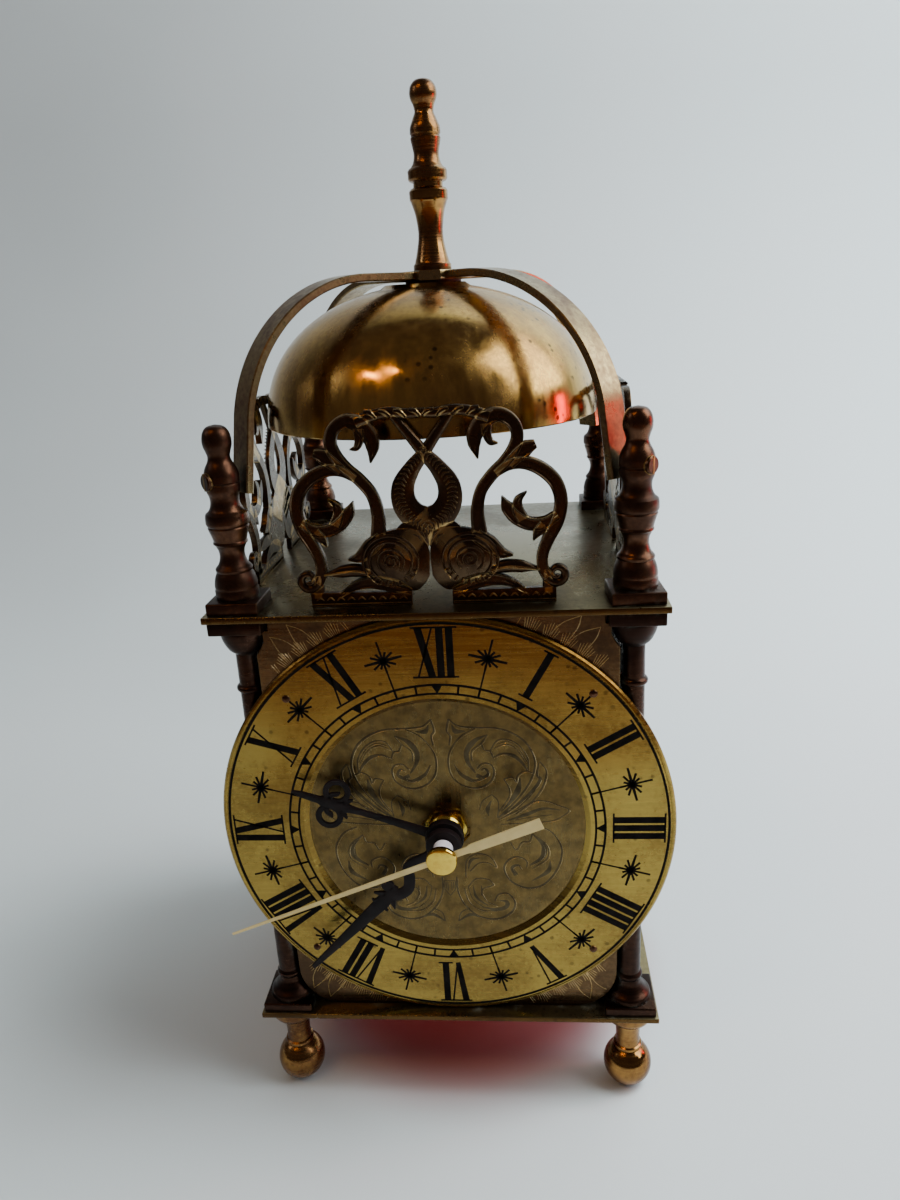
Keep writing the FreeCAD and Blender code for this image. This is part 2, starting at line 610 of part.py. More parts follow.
# ---------------------------------------------------------------- movement gears
def gear(x, z, teeth, module, phase, y0, y1, bore):
    """Toothed wheel about a line along Y. phase is the angle of one tooth's middle."""
    pitch_r, step = teeth * module / 2, 2 * math.pi / teeth
    profile = [(-0.27, pitch_r - 1.15 * module), (-0.20, pitch_r), (-0.09, pitch_r + 0.75 * module),
               (0.09, pitch_r + 0.75 * module), (0.20, pitch_r), (0.27, pitch_r - 1.15 * module)]
    points = []
    for i in range(teeth):
        middle = phase + i * step
        points += [(x + r * math.cos(middle + f * step), z + r * math.sin(middle + f * step))
                   for f, r in profile]
    wheel = prism_y(points, y0, y1)
    return wheel.cut(rod_y(x, z, y0, y1, bore)) if bore else wheel


def mesh_phase(phase, teeth, toward, mate_teeth):
    """Phase of a mating wheel. toward is the angle from the first wheel's axis to the mate's."""
    offset = (phase - toward) * teeth / mate_teeth
    return toward + math.pi - offset - math.pi / mate_teeth


def axis_at(distance, degrees, x=0.0, z=DIAL_Z):
    a = math.radians(degrees)
    return x + distance * math.cos(a), z + distance * math.sin(a)


MOTION_M = 0.42
HOUR_M = MOTION_M * 24 / 25
THIRD_M = 0.28
CENTRE_M = THIRD_M * 72 / 85
FIFTH_M = 0.2
ROTOR_M = 0.2
MOTION_AT = axis_at(24 * MOTION_M, 180)
THIRD_AT = axis_at(36 * THIRD_M, 60)
FIFTH_AT = axis_at(35 * FIFTH_M, -20)
ROTOR_AT = axis_at(36 * ROTOR_M, 10, *FIFTH_AT)
ARBOR_R = 0.8
LAYER = {"hour": (-42.6, -41.6), "motion": (-41.2, -40.2), "centre": (-39.8, -38.9),
         "third": (-38.5, -37.6), "seconds": (-36.0, -35.2), "fifth": (-34.9, -34.1)}
PLATE_BACK = CASE_SPLIT
PLATE_FRONT = CASE_SPLIT - 0.7


def arbor(place, y0, y1):
    """Arbor between two pivots that stop short of the ends of their holes."""
    x, z = place
    body = rod_y(x, z, y0, y1, ARBOR_R)
    pivots = [rod_y(x, z, y0 - 0.6, y0, PIVOT_R), rod_y(x, z, y1, y1 + 0.6, PIVOT_R)]
    return [body] + pivots


def hour_wheel():
    """Toothed wheel on the outer pipe, which carries the hour hand."""
    y0, y1 = LAYER["hour"]
    phase = mesh_phase(0.0, 10, 0.0, 40)
    wheel = gear(0, DIAL_Z, 40, HOUR_M, phase, y0, y1, 0)
    pipe = rod_y(0, DIAL_Z, HOUR_Y - 0.5, y1, HOUR_PIPE_R)
    return fuse([wheel, pipe]).cut(rod_y(0, DIAL_Z, HOUR_Y - 1, y1, MINUTE_PIPE_R + RUN))


def motion_wheel():
    """Wheel and pinion that step the minute pipe down to the hour pipe."""
    x, z = MOTION_AT
    wheel = gear(x, z, 36, MOTION_M, 0.0, *LAYER["motion"], 0)
    pinion = gear(x, z, 10, HOUR_M, 0.0, LAYER["hour"][0], LAYER["motion"][0], 0)
    shaft = [rod_y(x, z, -41.0, CASE_BACK + 1.0, ARBOR_R), rod_y(x, z, -43.2, -41.0, PIVOT_R)]
    return fuse([wheel, pinion] + shaft)


def setting_knob():
    """Ribbed knob on the back of the movement that sets the hands."""
    x, z = MOTION_AT
    y0, y1 = CASE_BACK + 0.3, CASE_BACK + 4.0
    knob = gear(x, z, 24, 0.38, 0.0, y0, y1, 0)
    return knob.cut(rod_y(x, z, y0 - 1, CASE_BACK + 1.0, ARBOR_R))


def minute_arbor():
    """Inner pipe with the minute pinion; the centre wheel drives it by friction."""
    phase = mesh_phase(0.0, 36, 0.0, 12)
    pinion = gear(0, DIAL_Z, 12, MOTION_M, phase, *LAYER["motion"], 0)
    pipe = rod_y(0, DIAL_Z, MINUTE_Y - 0.6, LAYER["centre"][1] - 0.05, MINUTE_PIPE_R)
    return fuse([pinion, pipe]).cut(rod_y(0, DIAL_Z, MINUTE_Y - 1, -30, SECOND_SHAFT_R + RUN))


def centre_wheel():
    phase = mesh_phase(0.0, 10, math.radians(240), 75)
    return gear(0, DIAL_Z, 75, CENTRE_M, phase, *LAYER["centre"], MINUTE_PIPE_R + RUN)


def third_wheel():
    x, z = THIRD_AT
    wheel = gear(x, z, 64, THIRD_M, 0.0, *LAYER["third"], 0)
    pinion = gear(x, z, 10, CENTRE_M, 0.0, LAYER["centre"][0], LAYER["third"][0], 0)
    return fuse([wheel, pinion] + arbor(THIRD_AT, -42.4, PLATE_FRONT - 0.05))


def seconds_wheel():
    """Wheel, pinion and the long thin shaft that carries the second hand."""
    wheel_phase = 0.0
    pinion_phase = mesh_phase(0.0, 64, math.radians(240), 8)
    wheel = gear(0, DIAL_Z, 60, FIFTH_M, wheel_phase, *LAYER["seconds"], 0)
    pinion = gear(0, DIAL_Z, 8, THIRD_M, pinion_phase, LAYER["third"][0], LAYER["third"][1], 0)
    shaft = rod_y(0, DIAL_Z, SECOND_Y, CASE_BACK - CASE_WALL + 0.6, SECOND_SHAFT_R)
    return fuse([wheel, pinion, shaft])


def fifth_wheel():
    x, z = FIFTH_AT
    wheel_phase = 0.0
    pinion_phase = mesh_phase(0.0, 60, math.radians(-20), 10)
    wheel = gear(x, z, 60, ROTOR_M, wheel_phase, *LAYER["fifth"], 0)
    pinion = gear(x, z, 10, FIFTH_M, pinion_phase, LAYER["seconds"][0], LAYER["fifth"][0], 0)
    ends = [rod_y(x, z, PLATE_FRONT + 0.2, -35.5, PIVOT_R), rod_y(x, z, -34.5, -29.4, PIVOT_R)]
    return fuse([wheel, pinion] + ends)


def rotor():
    """Magnet with its pinion, turned by the coil."""
    x, z = ROTOR_AT
    phase = mesh_phase(0.0, 60, math.radians(10), 12)
    pinion = gear(x, z, 12, ROTOR_M, phase, *LAYER["fifth"], 0)
    magnet = rod_y(x, z, -33.9, -32.2, 2.8)
    ends = [rod_y(x, z, PLATE_FRONT + 0.2, -29.4, PIVOT_R)]
    return fuse([pinion, magnet] + ends)


# ---------------------------------------------------------------- movement case
def case_block(y0, y1, z0, z1, inset=0.0):
    half = CASE_HALF - inset
    return block(-half, half, y0, y1, DIAL_Z + z0 + inset, DIAL_Z + z1 - inset)


def movement_front_case():
    """Front half with the threaded bush and the battery trough."""
    gears = case_block(CASE_FRONT, CASE_SPLIT, BAY_TOP - CASE_WALL, CASE_HALF)
    gears = gears.cut(case_block(CASE_FRONT + CASE_WALL, CASE_SPLIT, BAY_TOP - CASE_WALL, CASE_HALF, CASE_WALL))
    bay = case_block(CASE_FRONT, CASE_BACK, -CASE_HALF, BAY_TOP)
    bay_z1 = BAY_TOP - CASE_WALL
    room = block(-CASE_HALF + CASE_WALL, CASE_HALF - CASE_WALL, CASE_FRONT + 0.6, CASE_BACK,
                 DIAL_Z - CASE_HALF + CASE_WALL, DIAL_Z + bay_z1)
    bush = rod_y(0, DIAL_Z, -48.9, CASE_FRONT, BUSH_R)
    shape = fuse([gears, bay, bush]).cut(room)
    holes = [rod_y(0, DIAL_Z, -50, -42, HOUR_PIPE_R + RUN)]
    holes += [rod_y(x, z, CASE_FRONT + 0.4, -42, PIVOT_R + RUN) for x, z in (MOTION_AT, THIRD_AT)]
    holes += [rod_y(x, z, CASE_FRONT, CASE_FRONT + 0.55, 1.6) for x, z in rivet_places()]
    return shape.cut(Part.makeCompound(holes))


def movement_rear_case():
    """Back cover of the gear space."""
    cover = case_block(CASE_SPLIT, CASE_BACK, BAY_TOP, CASE_HALF)
    room = block(-CASE_HALF + CASE_WALL, CASE_HALF - CASE_WALL, CASE_SPLIT, CASE_BACK - CASE_WALL,
                 DIAL_Z + BAY_TOP + CASE_WALL, DIAL_Z + CASE_HALF - CASE_WALL)
    holes = [rod_y(MOTION_AT[0], MOTION_AT[1], -31, -28, ARBOR_R + RUN),
             rod_y(0, DIAL_Z, -31, CASE_BACK - 0.5, SECOND_SHAFT_R + RUN)]
    holes += [rod_y(x, z, -31, CASE_BACK - 0.7, PIVOT_R + RUN) for x, z in (FIFTH_AT, ROTOR_AT)]
    return cover.cut(room).cut(Part.makeCompound(holes))


def middle_plate():
    """Plate between the slow and the fast wheels, with their pivot holes."""
    inset = CASE_WALL + 0.05
    shape = block(-CASE_HALF + inset, CASE_HALF - inset, PLATE_FRONT, PLATE_BACK,
                  DIAL_Z + BAY_TOP + 0.05, DIAL_Z + CASE_HALF - inset)
    holes = [rod_y(0, DIAL_Z, PLATE_FRONT, PLATE_BACK, SECOND_SHAFT_R + RUN),
             rod_y(MOTION_AT[0], MOTION_AT[1], PLATE_FRONT, PLATE_BACK, ARBOR_R + RUN)]
    holes += [rod_y(x, z, PLATE_FRONT, PLATE_BACK, PIVOT_R + RUN)
              for x, z in (THIRD_AT, FIFTH_AT, ROTOR_AT)]
    return shape.cut(Part.makeCompound(holes))


def battery():
    z, y = DIAL_Z + BATTERY_Z, CASE_FRONT + 0.6 + BATTERY_R + 0.1
    body = Part.makeCylinder(BATTERY_R, 48.8, Vector(-24.6, y, z), Vector(1, 0, 0))
    nub = Part.makeCylinder(2.6, 1.2, Vector(24.2, y, z), Vector(1, 0, 0))
    return fuse([body, nub])


def battery_contacts():
    """Spring strips at the two ends of the battery."""
    z, y = DIAL_Z + BATTERY_Z, CASE_FRONT + 0.6 + BATTERY_R + 0.1
    inner = CASE_HALF - CASE_WALL
    plus = block(inner - 0.4, inner, y - 5, y + 5, z - 5, z + 5)
    plus = plus.fuse(block(25.4, inner - 0.4, y - 1.5, y + 1.5, z - 2, z + 2))
    minus = block(-inner, -inner + 0.4, y - 5, y + 5, z - 5, z + 5)
    minus = minus.fuse(block(-inner + 0.4, -24.6, y - 2, y + 2, z - 2.5, z + 2.5))
    return Part.makeCompound([plus.removeSplitter(), minus.removeSplitter()])


COIL_Z = DIAL_Z + 20.0
COIL_Y = -33.0


def coil():
    winding = Part.makeCylinder(3.0, 20, Vector(-1, COIL_Y, COIL_Z), Vector(1, 0, 0))
    return winding.cut(block(-2, 20, COIL_Y - 0.5, COIL_Y + 0.5, COIL_Z - 1.5, COIL_Z + 1.5))


def stator():
    """Soft-iron plate that leads the coil's field round the rotor."""
    x, z = ROTOR_AT
    y0, y1 = COIL_Y - 0.5, COIL_Y + 0.5
    bar = block(-4, 22, y0, y1, COIL_Z - 1.5, COIL_Z + 1.5)
    right_leg = block(19.2, 22, y0, y1, z - 3, COIL_Z + 1.5)
    left_leg = block(-4, -1.2, y0, y1, DIAL_Z + 13, COIL_Z + 1.5)
    link = prism_y([(-4, DIAL_Z + 13), (-4, DIAL_Z + 16), (x - 3, z + 7), (x - 3, z + 2)], y0, y1)
    shoe = block(x - 5.5, 22, y0, y1, z - 4.5, z + 4.5)
    web = block(x - 5.5, x - 1, y0, y1, z + 2, z + 7.5)
    shape = fuse([bar, right_leg, left_leg, link, shoe, web])
    return shape.cut(rod_y(x, z, y0, y1, 3.3))


def circuit_board():
    board = block(-25.5, -14.0, -32.6, -31.6, DIAL_Z + 6, DIAL_Z + 25)
    chip = Part.makeCylinder(2.6, 1.1, Vector(-19.7, -33.6, DIAL_Z + 18), Vector(0, 1, 0))
    can = Part.makeCylinder(1.0, 6, Vector(-23, -33.3, DIAL_Z + 9), Vector(1, 0, 0))
    return fuse([board, chip, can])


# ---------------------------------------------------------------- build
def main():
    os.makedirs("parts", exist_ok=True)
    save("base_plate", base_plate())
    save("top_plate", top_plate())
    for name, (sx, sy) in CORNERS.items():
        save("column_" + name, column(sx, sy))
        save("ball_foot_" + name, ball_foot(sx, sy))
        save("corner_finial_" + name, corner_finial(sx, sy))
        save("bell_strap_" + name, bell_strap(sx, sy, STRAP_ARC_W.get(name, STRAP_ARC_H)))
    save("plinth_blocks", plinth_blocks())
    save("strap_screws", strap_screws())
    save("bell", bell())
    save("bell_spacer", bell_spacer())
    save("bell_nut", bell_nut())
    save("bell_cage_hub", bell_cage_hub())
    save("top_finial", top_finial())
    front = fret()
    save("front_fret", front)
    save("left_fret", turn_z(front, -90))
    save("right_fret", turn_z(front, 90))
    save("front_plate", front_plate())
    save("left_side_panel", turn_z(panel(True), -90))
    save("right_side_panel", turn_z(panel(True), 90))
    save("rear_door", rear_door())
    save("door_knob", door_knob())
    save("chapter_ring", chapter_ring())
    save("dial_centre", dial_centre())
    save("dial_rivets", dial_rivets())
    save("dial_washer", dial_washer())
    save("hex_nut", hex_nut())
    save("hour_hand", hour_hand())
    save("minute_hand", minute_hand())
    save("second_hand", second_hand())
    save("second_hand_cap", second_cap())
    save("movement_front_case", movement_front_case())
    save("movement_rear_case", movement_rear_case())
    save("middle_plate", middle_plate())
    save("battery", battery())
    save("battery_contacts", battery_contacts())
    save("setting_knob", setting_knob())
    save("coil", coil())
    save("stator", stator())
    save("circuit_board", circuit_board())
    save("rotor", rotor())
    save("fifth_wheel", fifth_wheel())
    save("seconds_wheel", seconds_wheel())
    save("third_wheel", third_wheel())
    save("centre_wheel", centre_wheel())
    save("minute_arbor", minute_arbor())
    save("motion_wheel", motion_wheel())
    save("hour_wheel", hour_wheel())


main()
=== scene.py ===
import bpy, bmesh
import math
from bmesh.types import BMEdge, BMFace, BMVert
from mathutils import Matrix, Vector


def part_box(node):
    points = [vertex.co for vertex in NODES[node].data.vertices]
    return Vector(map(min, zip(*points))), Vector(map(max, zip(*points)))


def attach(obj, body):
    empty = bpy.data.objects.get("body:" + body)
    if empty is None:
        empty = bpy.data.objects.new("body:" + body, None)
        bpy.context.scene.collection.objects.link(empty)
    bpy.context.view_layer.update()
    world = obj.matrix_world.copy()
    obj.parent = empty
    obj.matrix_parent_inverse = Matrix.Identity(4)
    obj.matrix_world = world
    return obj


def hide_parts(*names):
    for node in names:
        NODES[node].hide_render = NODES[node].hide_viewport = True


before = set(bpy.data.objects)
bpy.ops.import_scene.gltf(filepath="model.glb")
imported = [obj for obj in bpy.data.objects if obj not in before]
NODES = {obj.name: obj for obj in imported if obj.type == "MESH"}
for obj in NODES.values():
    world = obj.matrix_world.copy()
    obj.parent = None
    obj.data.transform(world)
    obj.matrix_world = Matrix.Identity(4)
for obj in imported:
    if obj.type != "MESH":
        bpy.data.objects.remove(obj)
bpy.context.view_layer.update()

# Everything below is laid out in millimetres and scaled once, when a piece is finished.
MM = 0.001
CORNERS = {"front_left": (-1, -1), "front_right": (1, -1), "rear_left": (-1, 1), "rear_right": (1, 1)}
TAU = 2 * math.pi


def low_high(node):
    """Corners of a CAD node's box in millimetres."""
    low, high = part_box(node)
    return low / MM, high / MM


RING_LOW, RING_HIGH = low_high("chapter_ring")
DIAL_R = (RING_HIGH.x - RING_LOW.x) / 2
DIAL_Z = (RING_HIGH.z + RING_LOW.z) / 2
RING_FRONT, RING_BACK = RING_LOW.y, RING_HIGH.y
PLATE_TOP = low_high("top_plate")[1].z
FRET_FRONT = low_high("front_fret")[0].y
FRET_BACK = low_high("front_fret")[1].y
FOOT_LOW, FOOT_HIGH = low_high("ball_foot_front_left")
COLUMN_AXIS = -(FOOT_LOW.x + FOOT_HIGH.x) / 2


# ================================================================ mesh helpers
def smooth(points, per=6):
    """Points of a smooth line through the given ones (Catmull-Rom), ends included."""
    ends = [2 * Vector(points[0]) - Vector(points[1])]
    ends += [Vector(p) for p in points]
    ends.append(2 * Vector(points[-1]) - Vector(points[-2]))
    line = []
    for a, b, c, d in zip(ends, ends[1:], ends[2:], ends[3:]):
        for i in range(per):
            t = i / per
            line.append(0.5 * (2 * b + (c - a) * t + (2 * a - 5 * b + 4 * c - d) * t * t
                               + (3 * b - a - 3 * c + d) * t ** 3))
    line.append(ends[-2])
    return line


def outline(runs, per=6):
    """One line from ("line" | "curve", points) runs, each carried on from the last point."""
    line = []
    for kind, points in runs:
        points = line[-1:] + [Vector(p) for p in points]
        run = smooth(points, per) if kind == "curve" else points
        line += run[1:] if line else run
    return line


def finish(bm, name, body, nodes, material, sharp=32):
    """Make the piece's object, give it its finish, tie it to its body and hide its CAD nodes."""
    bmesh.ops.recalc_face_normals(bm, faces=bm.faces)
    bmesh.ops.scale(bm, vec=(MM, MM, MM), verts=bm.verts)
    mesh = bpy.data.meshes.new(name)
    bm.to_mesh(mesh)
    bm.free()
    return place(mesh, name, body, nodes, material, sharp)


def place(mesh, name, body, nodes, material, sharp=32):
    """Give a finished mesh its object, shading, body and material slot, and hide its CAD nodes."""
    mesh.shade_smooth()
    mesh.set_sharp_from_angle(angle=math.radians(sharp))
    mesh.materials.clear()
    mesh.materials.append(material)
    piece = bpy.data.objects.new(name, mesh)
    bpy.context.scene.collection.objects.link(piece)
    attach(piece, body)
    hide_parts(*nodes)
    return piece


def spun(bm, line, centre=(0, 0), steps=64):
    """Turn an (r, z) line about an upright axis."""
    cx, cy = centre
    verts = [bm.verts.new((cx + p[0], cy, p[1])) for p in line]
    edges = [bm.edges.new(pair) for pair in zip(verts, verts[1:])]
    bmesh.ops.spin(bm, geom=verts + edges, cent=(cx, cy, 0), axis=(0, 0, 1), dvec=(0, 0, 0),
                   angle=TAU, steps=steps, use_merge=True)
    poles = [v for v in bm.verts if math.hypot(v.co.x - cx, v.co.y - cy) < 1e-4]
    bmesh.ops.remove_doubles(bm, verts=poles, dist=1e-4)


def spun_y(bm, line, steps=96, z=None, x=0.0, closed=True):
    """Turn an (r, y) line about an axis along Y, through (x, z)."""
    z = DIAL_Z if z is None else z
    verts = [bm.verts.new((x + p[0], p[1], z)) for p in line]
    pairs = list(zip(verts, verts[1:])) + ([(verts[-1], verts[0])] if closed else [])
    edges = [bm.edges.new(pair) for pair in pairs]
    bmesh.ops.spin(bm, geom=verts + edges, cent=(x, 0, z), axis=(0, 1, 0), dvec=(0, 0, 0),
                   angle=TAU, steps=steps, use_merge=True)
    poles = [v for v in bm.verts if math.hypot(v.co.x - x, v.co.z - z) < 1e-4]
    bmesh.ops.remove_doubles(bm, verts=poles, dist=1e-4)


def turned_piece(line, centre, steps, name, node, material):
    """One turning of the case, made from its (r, z) line."""
    bm = bmesh.new()
    spun(bm, line, centre, steps)
    finish(bm, name, "case", [node], material)


def slab(bm, low, high, bevel=0.25, segments=2, turn=0.0):
    """Block with softened edges between two corners, turned about its own upright axis."""
    low, high = Vector(low), Vector(high)
    middle = (low + high) / 2
    verts = bmesh.ops.create_cube(bm, size=1.0)["verts"]
    bmesh.ops.scale(bm, vec=high - low, verts=verts)
    bmesh.ops.rotate(bm, cent=(0, 0, 0), matrix=Matrix.Rotation(turn, 3, "Z"), verts=verts)
    bmesh.ops.translate(bm, vec=middle, verts=verts)
    edges = list({e for v in verts for e in v.link_edges})
    bmesh.ops.bevel(bm, geom=edges, offset=bevel, offset_type="OFFSET", segments=segments,
                    profile=0.5, affect="EDGES", material=-1, clamp_overlap=True)


def parts(made, kind):
    """Vertices, edges or faces among the things that an operator made."""
    return [g for g in made["geom"] if isinstance(g, kind)]


def sweep(bm, placements, section):
    """Carry a closed section through the placements and cap both ends."""
    ring = [bm.verts.new(placements[0] @ Vector(p)) for p in section]
    edges = [bm.edges.new(pair) for pair in zip(ring, ring[1:] + ring[:1])]
    first = list(edges)
    for before, after in zip(placements, placements[1:]):
        made = bmesh.ops.extrude_edge_only(bm, edges=edges)
        edges = parts(made, BMEdge)
        bmesh.ops.transform(bm, matrix=after @ before.inverted(), verts=parts(made, BMVert))
    bmesh.ops.edgeloop_fill(bm, edges=first)
    bmesh.ops.edgeloop_fill(bm, edges=edges)


# Cross-sections of strips: (across, depth) with the back at 0 and the front at 1
RIMMED = [(-0.5, 0), (-0.5, 0.85), (-0.46, 1.0), (-0.4, 0.97), (-0.33, 0.8), (-0.15, 0.74), (0, 0.82),
          (0.15, 0.74), (0.33, 0.8), (0.4, 0.97), (0.46, 1.0), (0.5, 0.85), (0.5, 0)]
ROUNDED = [(-0.5, 0), (-0.5, 0.6), (-0.38, 0.88), (-0.15, 1.0), (0.15, 1.0), (0.38, 0.88), (0.5, 0.6),
           (0.5, 0)]
FLAT = [(-0.5, 0), (-0.5, 1), (0.5, 1), (0.5, 0)]
RIDGE = [(-0.5, 0), (0, 1), (0.5, 0)]
BLADE = [(-0.5, 0), (-0.5, 0.75), (-0.38, 1.0), (0.38, 1.0), (0.5, 0.75), (0.5, 0)]


def strip(bm, line, widths, section, back, front):
    """Sweep a section along an (x, z) line. widths are spread evenly along the line; the section
    stands on the plane y = back and reaches y = front."""
    line = [Vector((p[0], p[1])) for p in line]
    last = len(line) - 1
    placements = []
    for i, point in enumerate(line):
        ahead = (line[min(i + 1, last)] - line[max(i - 1, 0)]).normalized()
        where = i / last * (len(widths) - 1)
        j = min(int(where), len(widths) - 2) if len(widths) > 1 else 0
        width = widths[j] + (widths[j + 1] - widths[j]) * (where - j) if len(widths) > 1 else widths[0]
        across = Vector((ahead.y, -ahead.x)) * max(width, 0.02)
        placements.append(Matrix(((across.x, 0, ahead.x, point.x), (0, front - back, 0, back),
                                  (across.y, 0, ahead.y, point.y), (0, 0, 0, 1))))
    sweep(bm, placements, [(u, v, 0) for u, v in section])


def mirrored(points):
    return [(-p[0], p[1]) for p in points]


def arc(centre, across, up, degrees):
    """Points of an ellipse round centre, at the given angles from its first axis."""
    return [(centre[0] + across * math.cos(math.radians(d)), centre[1] + up * math.sin(math.radians(d)))
            for d in degrees]


def spiral(cx, cz, r0, r1, start, turns, steps=28):
    """Points of a spiral that runs from radius r0 to r1; a negative turn count runs clockwise."""
    return [(cx + (r0 + (r1 - r0) * i / steps) * math.cos(start + TAU * turns * i / steps),
             cz + (r0 + (r1 - r0) * i / steps) * math.sin(start + TAU * turns * i / steps))
            for i in range(steps + 1)]


def on_dial(across, out, clock):
    """(x, z) of a place on the dial, from its distance out and sideways at a clock angle."""
    a = math.radians(clock)
    return (out * math.sin(a) + across * math.cos(a), DIAL_Z + out * math.cos(a) - across * math.sin(a))


# ================================================================ material helpers
class Tree:
    """Short ways to add and join shader nodes."""

    def __init__(self, tree):
        self.tree = tree

    def node(self, kind, settings=None, **values):
        made = self.tree.nodes.new(kind)
        for key, value in (settings or {}).items():
            setattr(made, key, value)
        for key, value in values.items():
            self.put(made.inputs[key.replace("_", " ")], value)
        return made

    def put(self, socket, value):
        if isinstance(value, bpy.types.NodeSocket):
            self.tree.links.new(value, socket)
        else:
            socket.default_value = value

    def here(self):
        """Place on the object, in metres."""
        return self.node("ShaderNodeTexCoord").outputs["Object"]

    def math(self, operation, a, b=0.0, clamp=False):
        made = self.tree.nodes.new("ShaderNodeMath")
        made.operation = operation
        made.use_clamp = clamp
        self.put(made.inputs[0], a)
        self.put(made.inputs[1], b)
        return made.outputs[0]

    def blend(self, factor, a, b, mode="MIX"):
        made = self.tree.nodes.new("ShaderNodeMix")
        made.data_type = "RGBA"
        made.blend_type = mode
        self.put(made.inputs[0], factor)
        self.put(made.inputs[6], a)
        self.put(made.inputs[7], b)
        return made.outputs[2]

    def ramp(self, value, low, high, to_low=0.0, to_high=1.0):
        made = self.node("ShaderNodeMapRange", {"interpolation_type": "SMOOTHSTEP"}, Value=value)
        for key, number in (("From Min", low), ("From Max", high), ("To Min", to_low), ("To Max", to_high)):
            self.put(made.inputs[key], number)
        return made.outputs[0]

    def noise(self, vector, scale, detail=3.0, rough=0.55, warp=0.0):
        made = self.node("ShaderNodeTexNoise", Vector=vector, Scale=scale, Detail=detail,
                         Roughness=rough, Distortion=warp)
        return made.outputs[0]


def new_group(name, inputs, outputs):
    """Node group with named sockets. Each is (name, kind, start value)."""
    group = bpy.data.node_groups.new(name, "ShaderNodeTree")
    for title, kind, value in inputs:
        socket = group.interface.new_socket(title, in_out="INPUT", socket_type="NodeSocket" + kind)
        socket.default_value = value
    for title, kind in outputs:
        group.interface.new_socket(title, in_out="OUTPUT", socket_type="NodeSocket" + kind)
    return group, Tree(group), group.nodes.new("NodeGroupInput"), group.nodes.new("NodeGroupOutput")


def make_patina_group():
    """Cloudy toning of brass, with fine mottling and dark specks."""
    group, t, gin, gout = new_group(
        "patina",
        [("Bright", "Color", (0.6, 0.4, 0.15, 1)), ("Toned", "Color", (0.1, 0.06, 0.03, 1)),
         ("Amount", "Float", 0.5), ("Cloud Scale", "Float", 60.0), ("Specks", "Float", 0.2)],
        [("Color", "Color"), ("Tone", "Float"), ("Spots", "Float")])
    where = t.here()
    clouds = t.noise(where, gin.outputs["Cloud Scale"], 4.0, 0.6, 0.4)
    fine = t.noise(where, 900.0, 2.0, 0.6)
    mottled = t.math("ADD", t.math("MULTIPLY", clouds, 0.75), t.math("MULTIPLY", fine, 0.25))
    centre = t.math("SUBTRACT", 0.78, t.math("MULTIPLY", gin.outputs["Amount"], 0.56))
    tone = t.ramp(mottled, t.math("SUBTRACT", centre, 0.16), t.math("ADD", centre, 0.16))
    cells = t.node("ShaderNodeTexVoronoi", {"feature": "F1"}, Vector=where, Scale=420.0, Randomness=1.0)
    picked = t.noise(where, 130.0, 1.0)
    near = t.ramp(cells.outputs["Distance"], 0.12, 0.30, 1.0, 0.0)
    spots = t.math("MULTIPLY", t.math("MULTIPLY", near, t.ramp(picked, 0.5, 0.62)), gin.outputs["Specks"])
    colour = t.blend(tone, gin.outputs["Bright"], gin.outputs["Toned"])
    colour = t.blend(spots, colour, (0.03, 0.018, 0.01, 1))
    t.put(gout.inputs["Color"], colour)
    t.put(gout.inputs["Tone"], tone)
    t.put(gout.inputs["Spots"], spots)
    return group


def make_wear_grime_and_shade_group():
    """Masks for rubbed outer edges and for corners, where dirt sits and occlusion paints shade."""
    group, t, gin, gout = new_group(
        "wear_grime_and_shade", [("Edge Size", "Float", 0.0006), ("Corner Size", "Float", 0.003)],
        [("Edge", "Float"), ("Corner", "Float")])
    where = t.here()
    inner = t.node("ShaderNodeAmbientOcclusion", {"inside": True, "samples": 6},
                   Distance=gin.outputs["Edge Size"])
    outer = t.node("ShaderNodeAmbientOcclusion", {"inside": False, "samples": 6},
                   Distance=gin.outputs["Corner Size"])
    broken = t.ramp(t.noise(where, 350.0, 3.0), 0.3, 0.7, 0.45, 1.0)
    edge = t.math("MULTIPLY", t.ramp(inner.outputs["AO"], 0.35, 0.85, 1.0, 0.0), broken)
    # Corner mask from occlusion: grime, and painted shade where corners are hidden from light.
    corner = t.math("MULTIPLY", t.ramp(outer.outputs["AO"], 0.25, 0.85, 1.0, 0.0), broken)
    t.put(gout.inputs["Edge"], edge)
    t.put(gout.inputs["Corner"], corner)
    return group


def make_brush_group():
    """Fine scratches drawn out along one direction."""
    group, t, gin, gout = new_group(
        "brushing", [("Stretch", "Vector", (40.0, 40.0, 2500.0)), ("Turn", "Vector", (0.0, 0.0, 0.0))],
        [("Lines", "Float")])
    where = t.here()
    drawn = t.node("ShaderNodeMapping", {"vector_type": "POINT"}, Vector=where,
                   Rotation=gin.outputs["Turn"], Scale=gin.outputs["Stretch"])
    fine = t.noise(drawn.outputs[0], 1.0, 3.0, 0.65)
    t.put(gout.inputs["Lines"], fine)
    return group


def make_residue_group():
    """Chalky grey-green polish residue that gathers near joints."""
    group, t, gin, gout = new_group("residue", [("Corner", "Float", 0.0), ("Amount", "Float", 0.5)],
                                    [("Mask", "Float"), ("Color", "Color")])
    where = t.here()
    patches = t.ramp(t.noise(where, 160.0, 5.0, 0.7), 0.5, 0.68)
    mask = t.math("MULTIPLY", t.math("MULTIPLY", patches, gin.outputs["Corner"]), gin.outputs["Amount"], True)
    tint = t.blend(t.ramp(t.noise(where, 300.0), 0.35, 0.65), (0.36, 0.40, 0.38, 1), (0.16, 0.25, 0.22, 1))
    t.put(gout.inputs["Mask"], mask)
    t.put(gout.inputs["Color"], tint)
    return group


GROUPS = {"patina": make_patina_group(), "wear_grime_and_shade": make_wear_grime_and_shade_group(), "brushing": make_brush_group(),
          "residue": make_residue_group()}


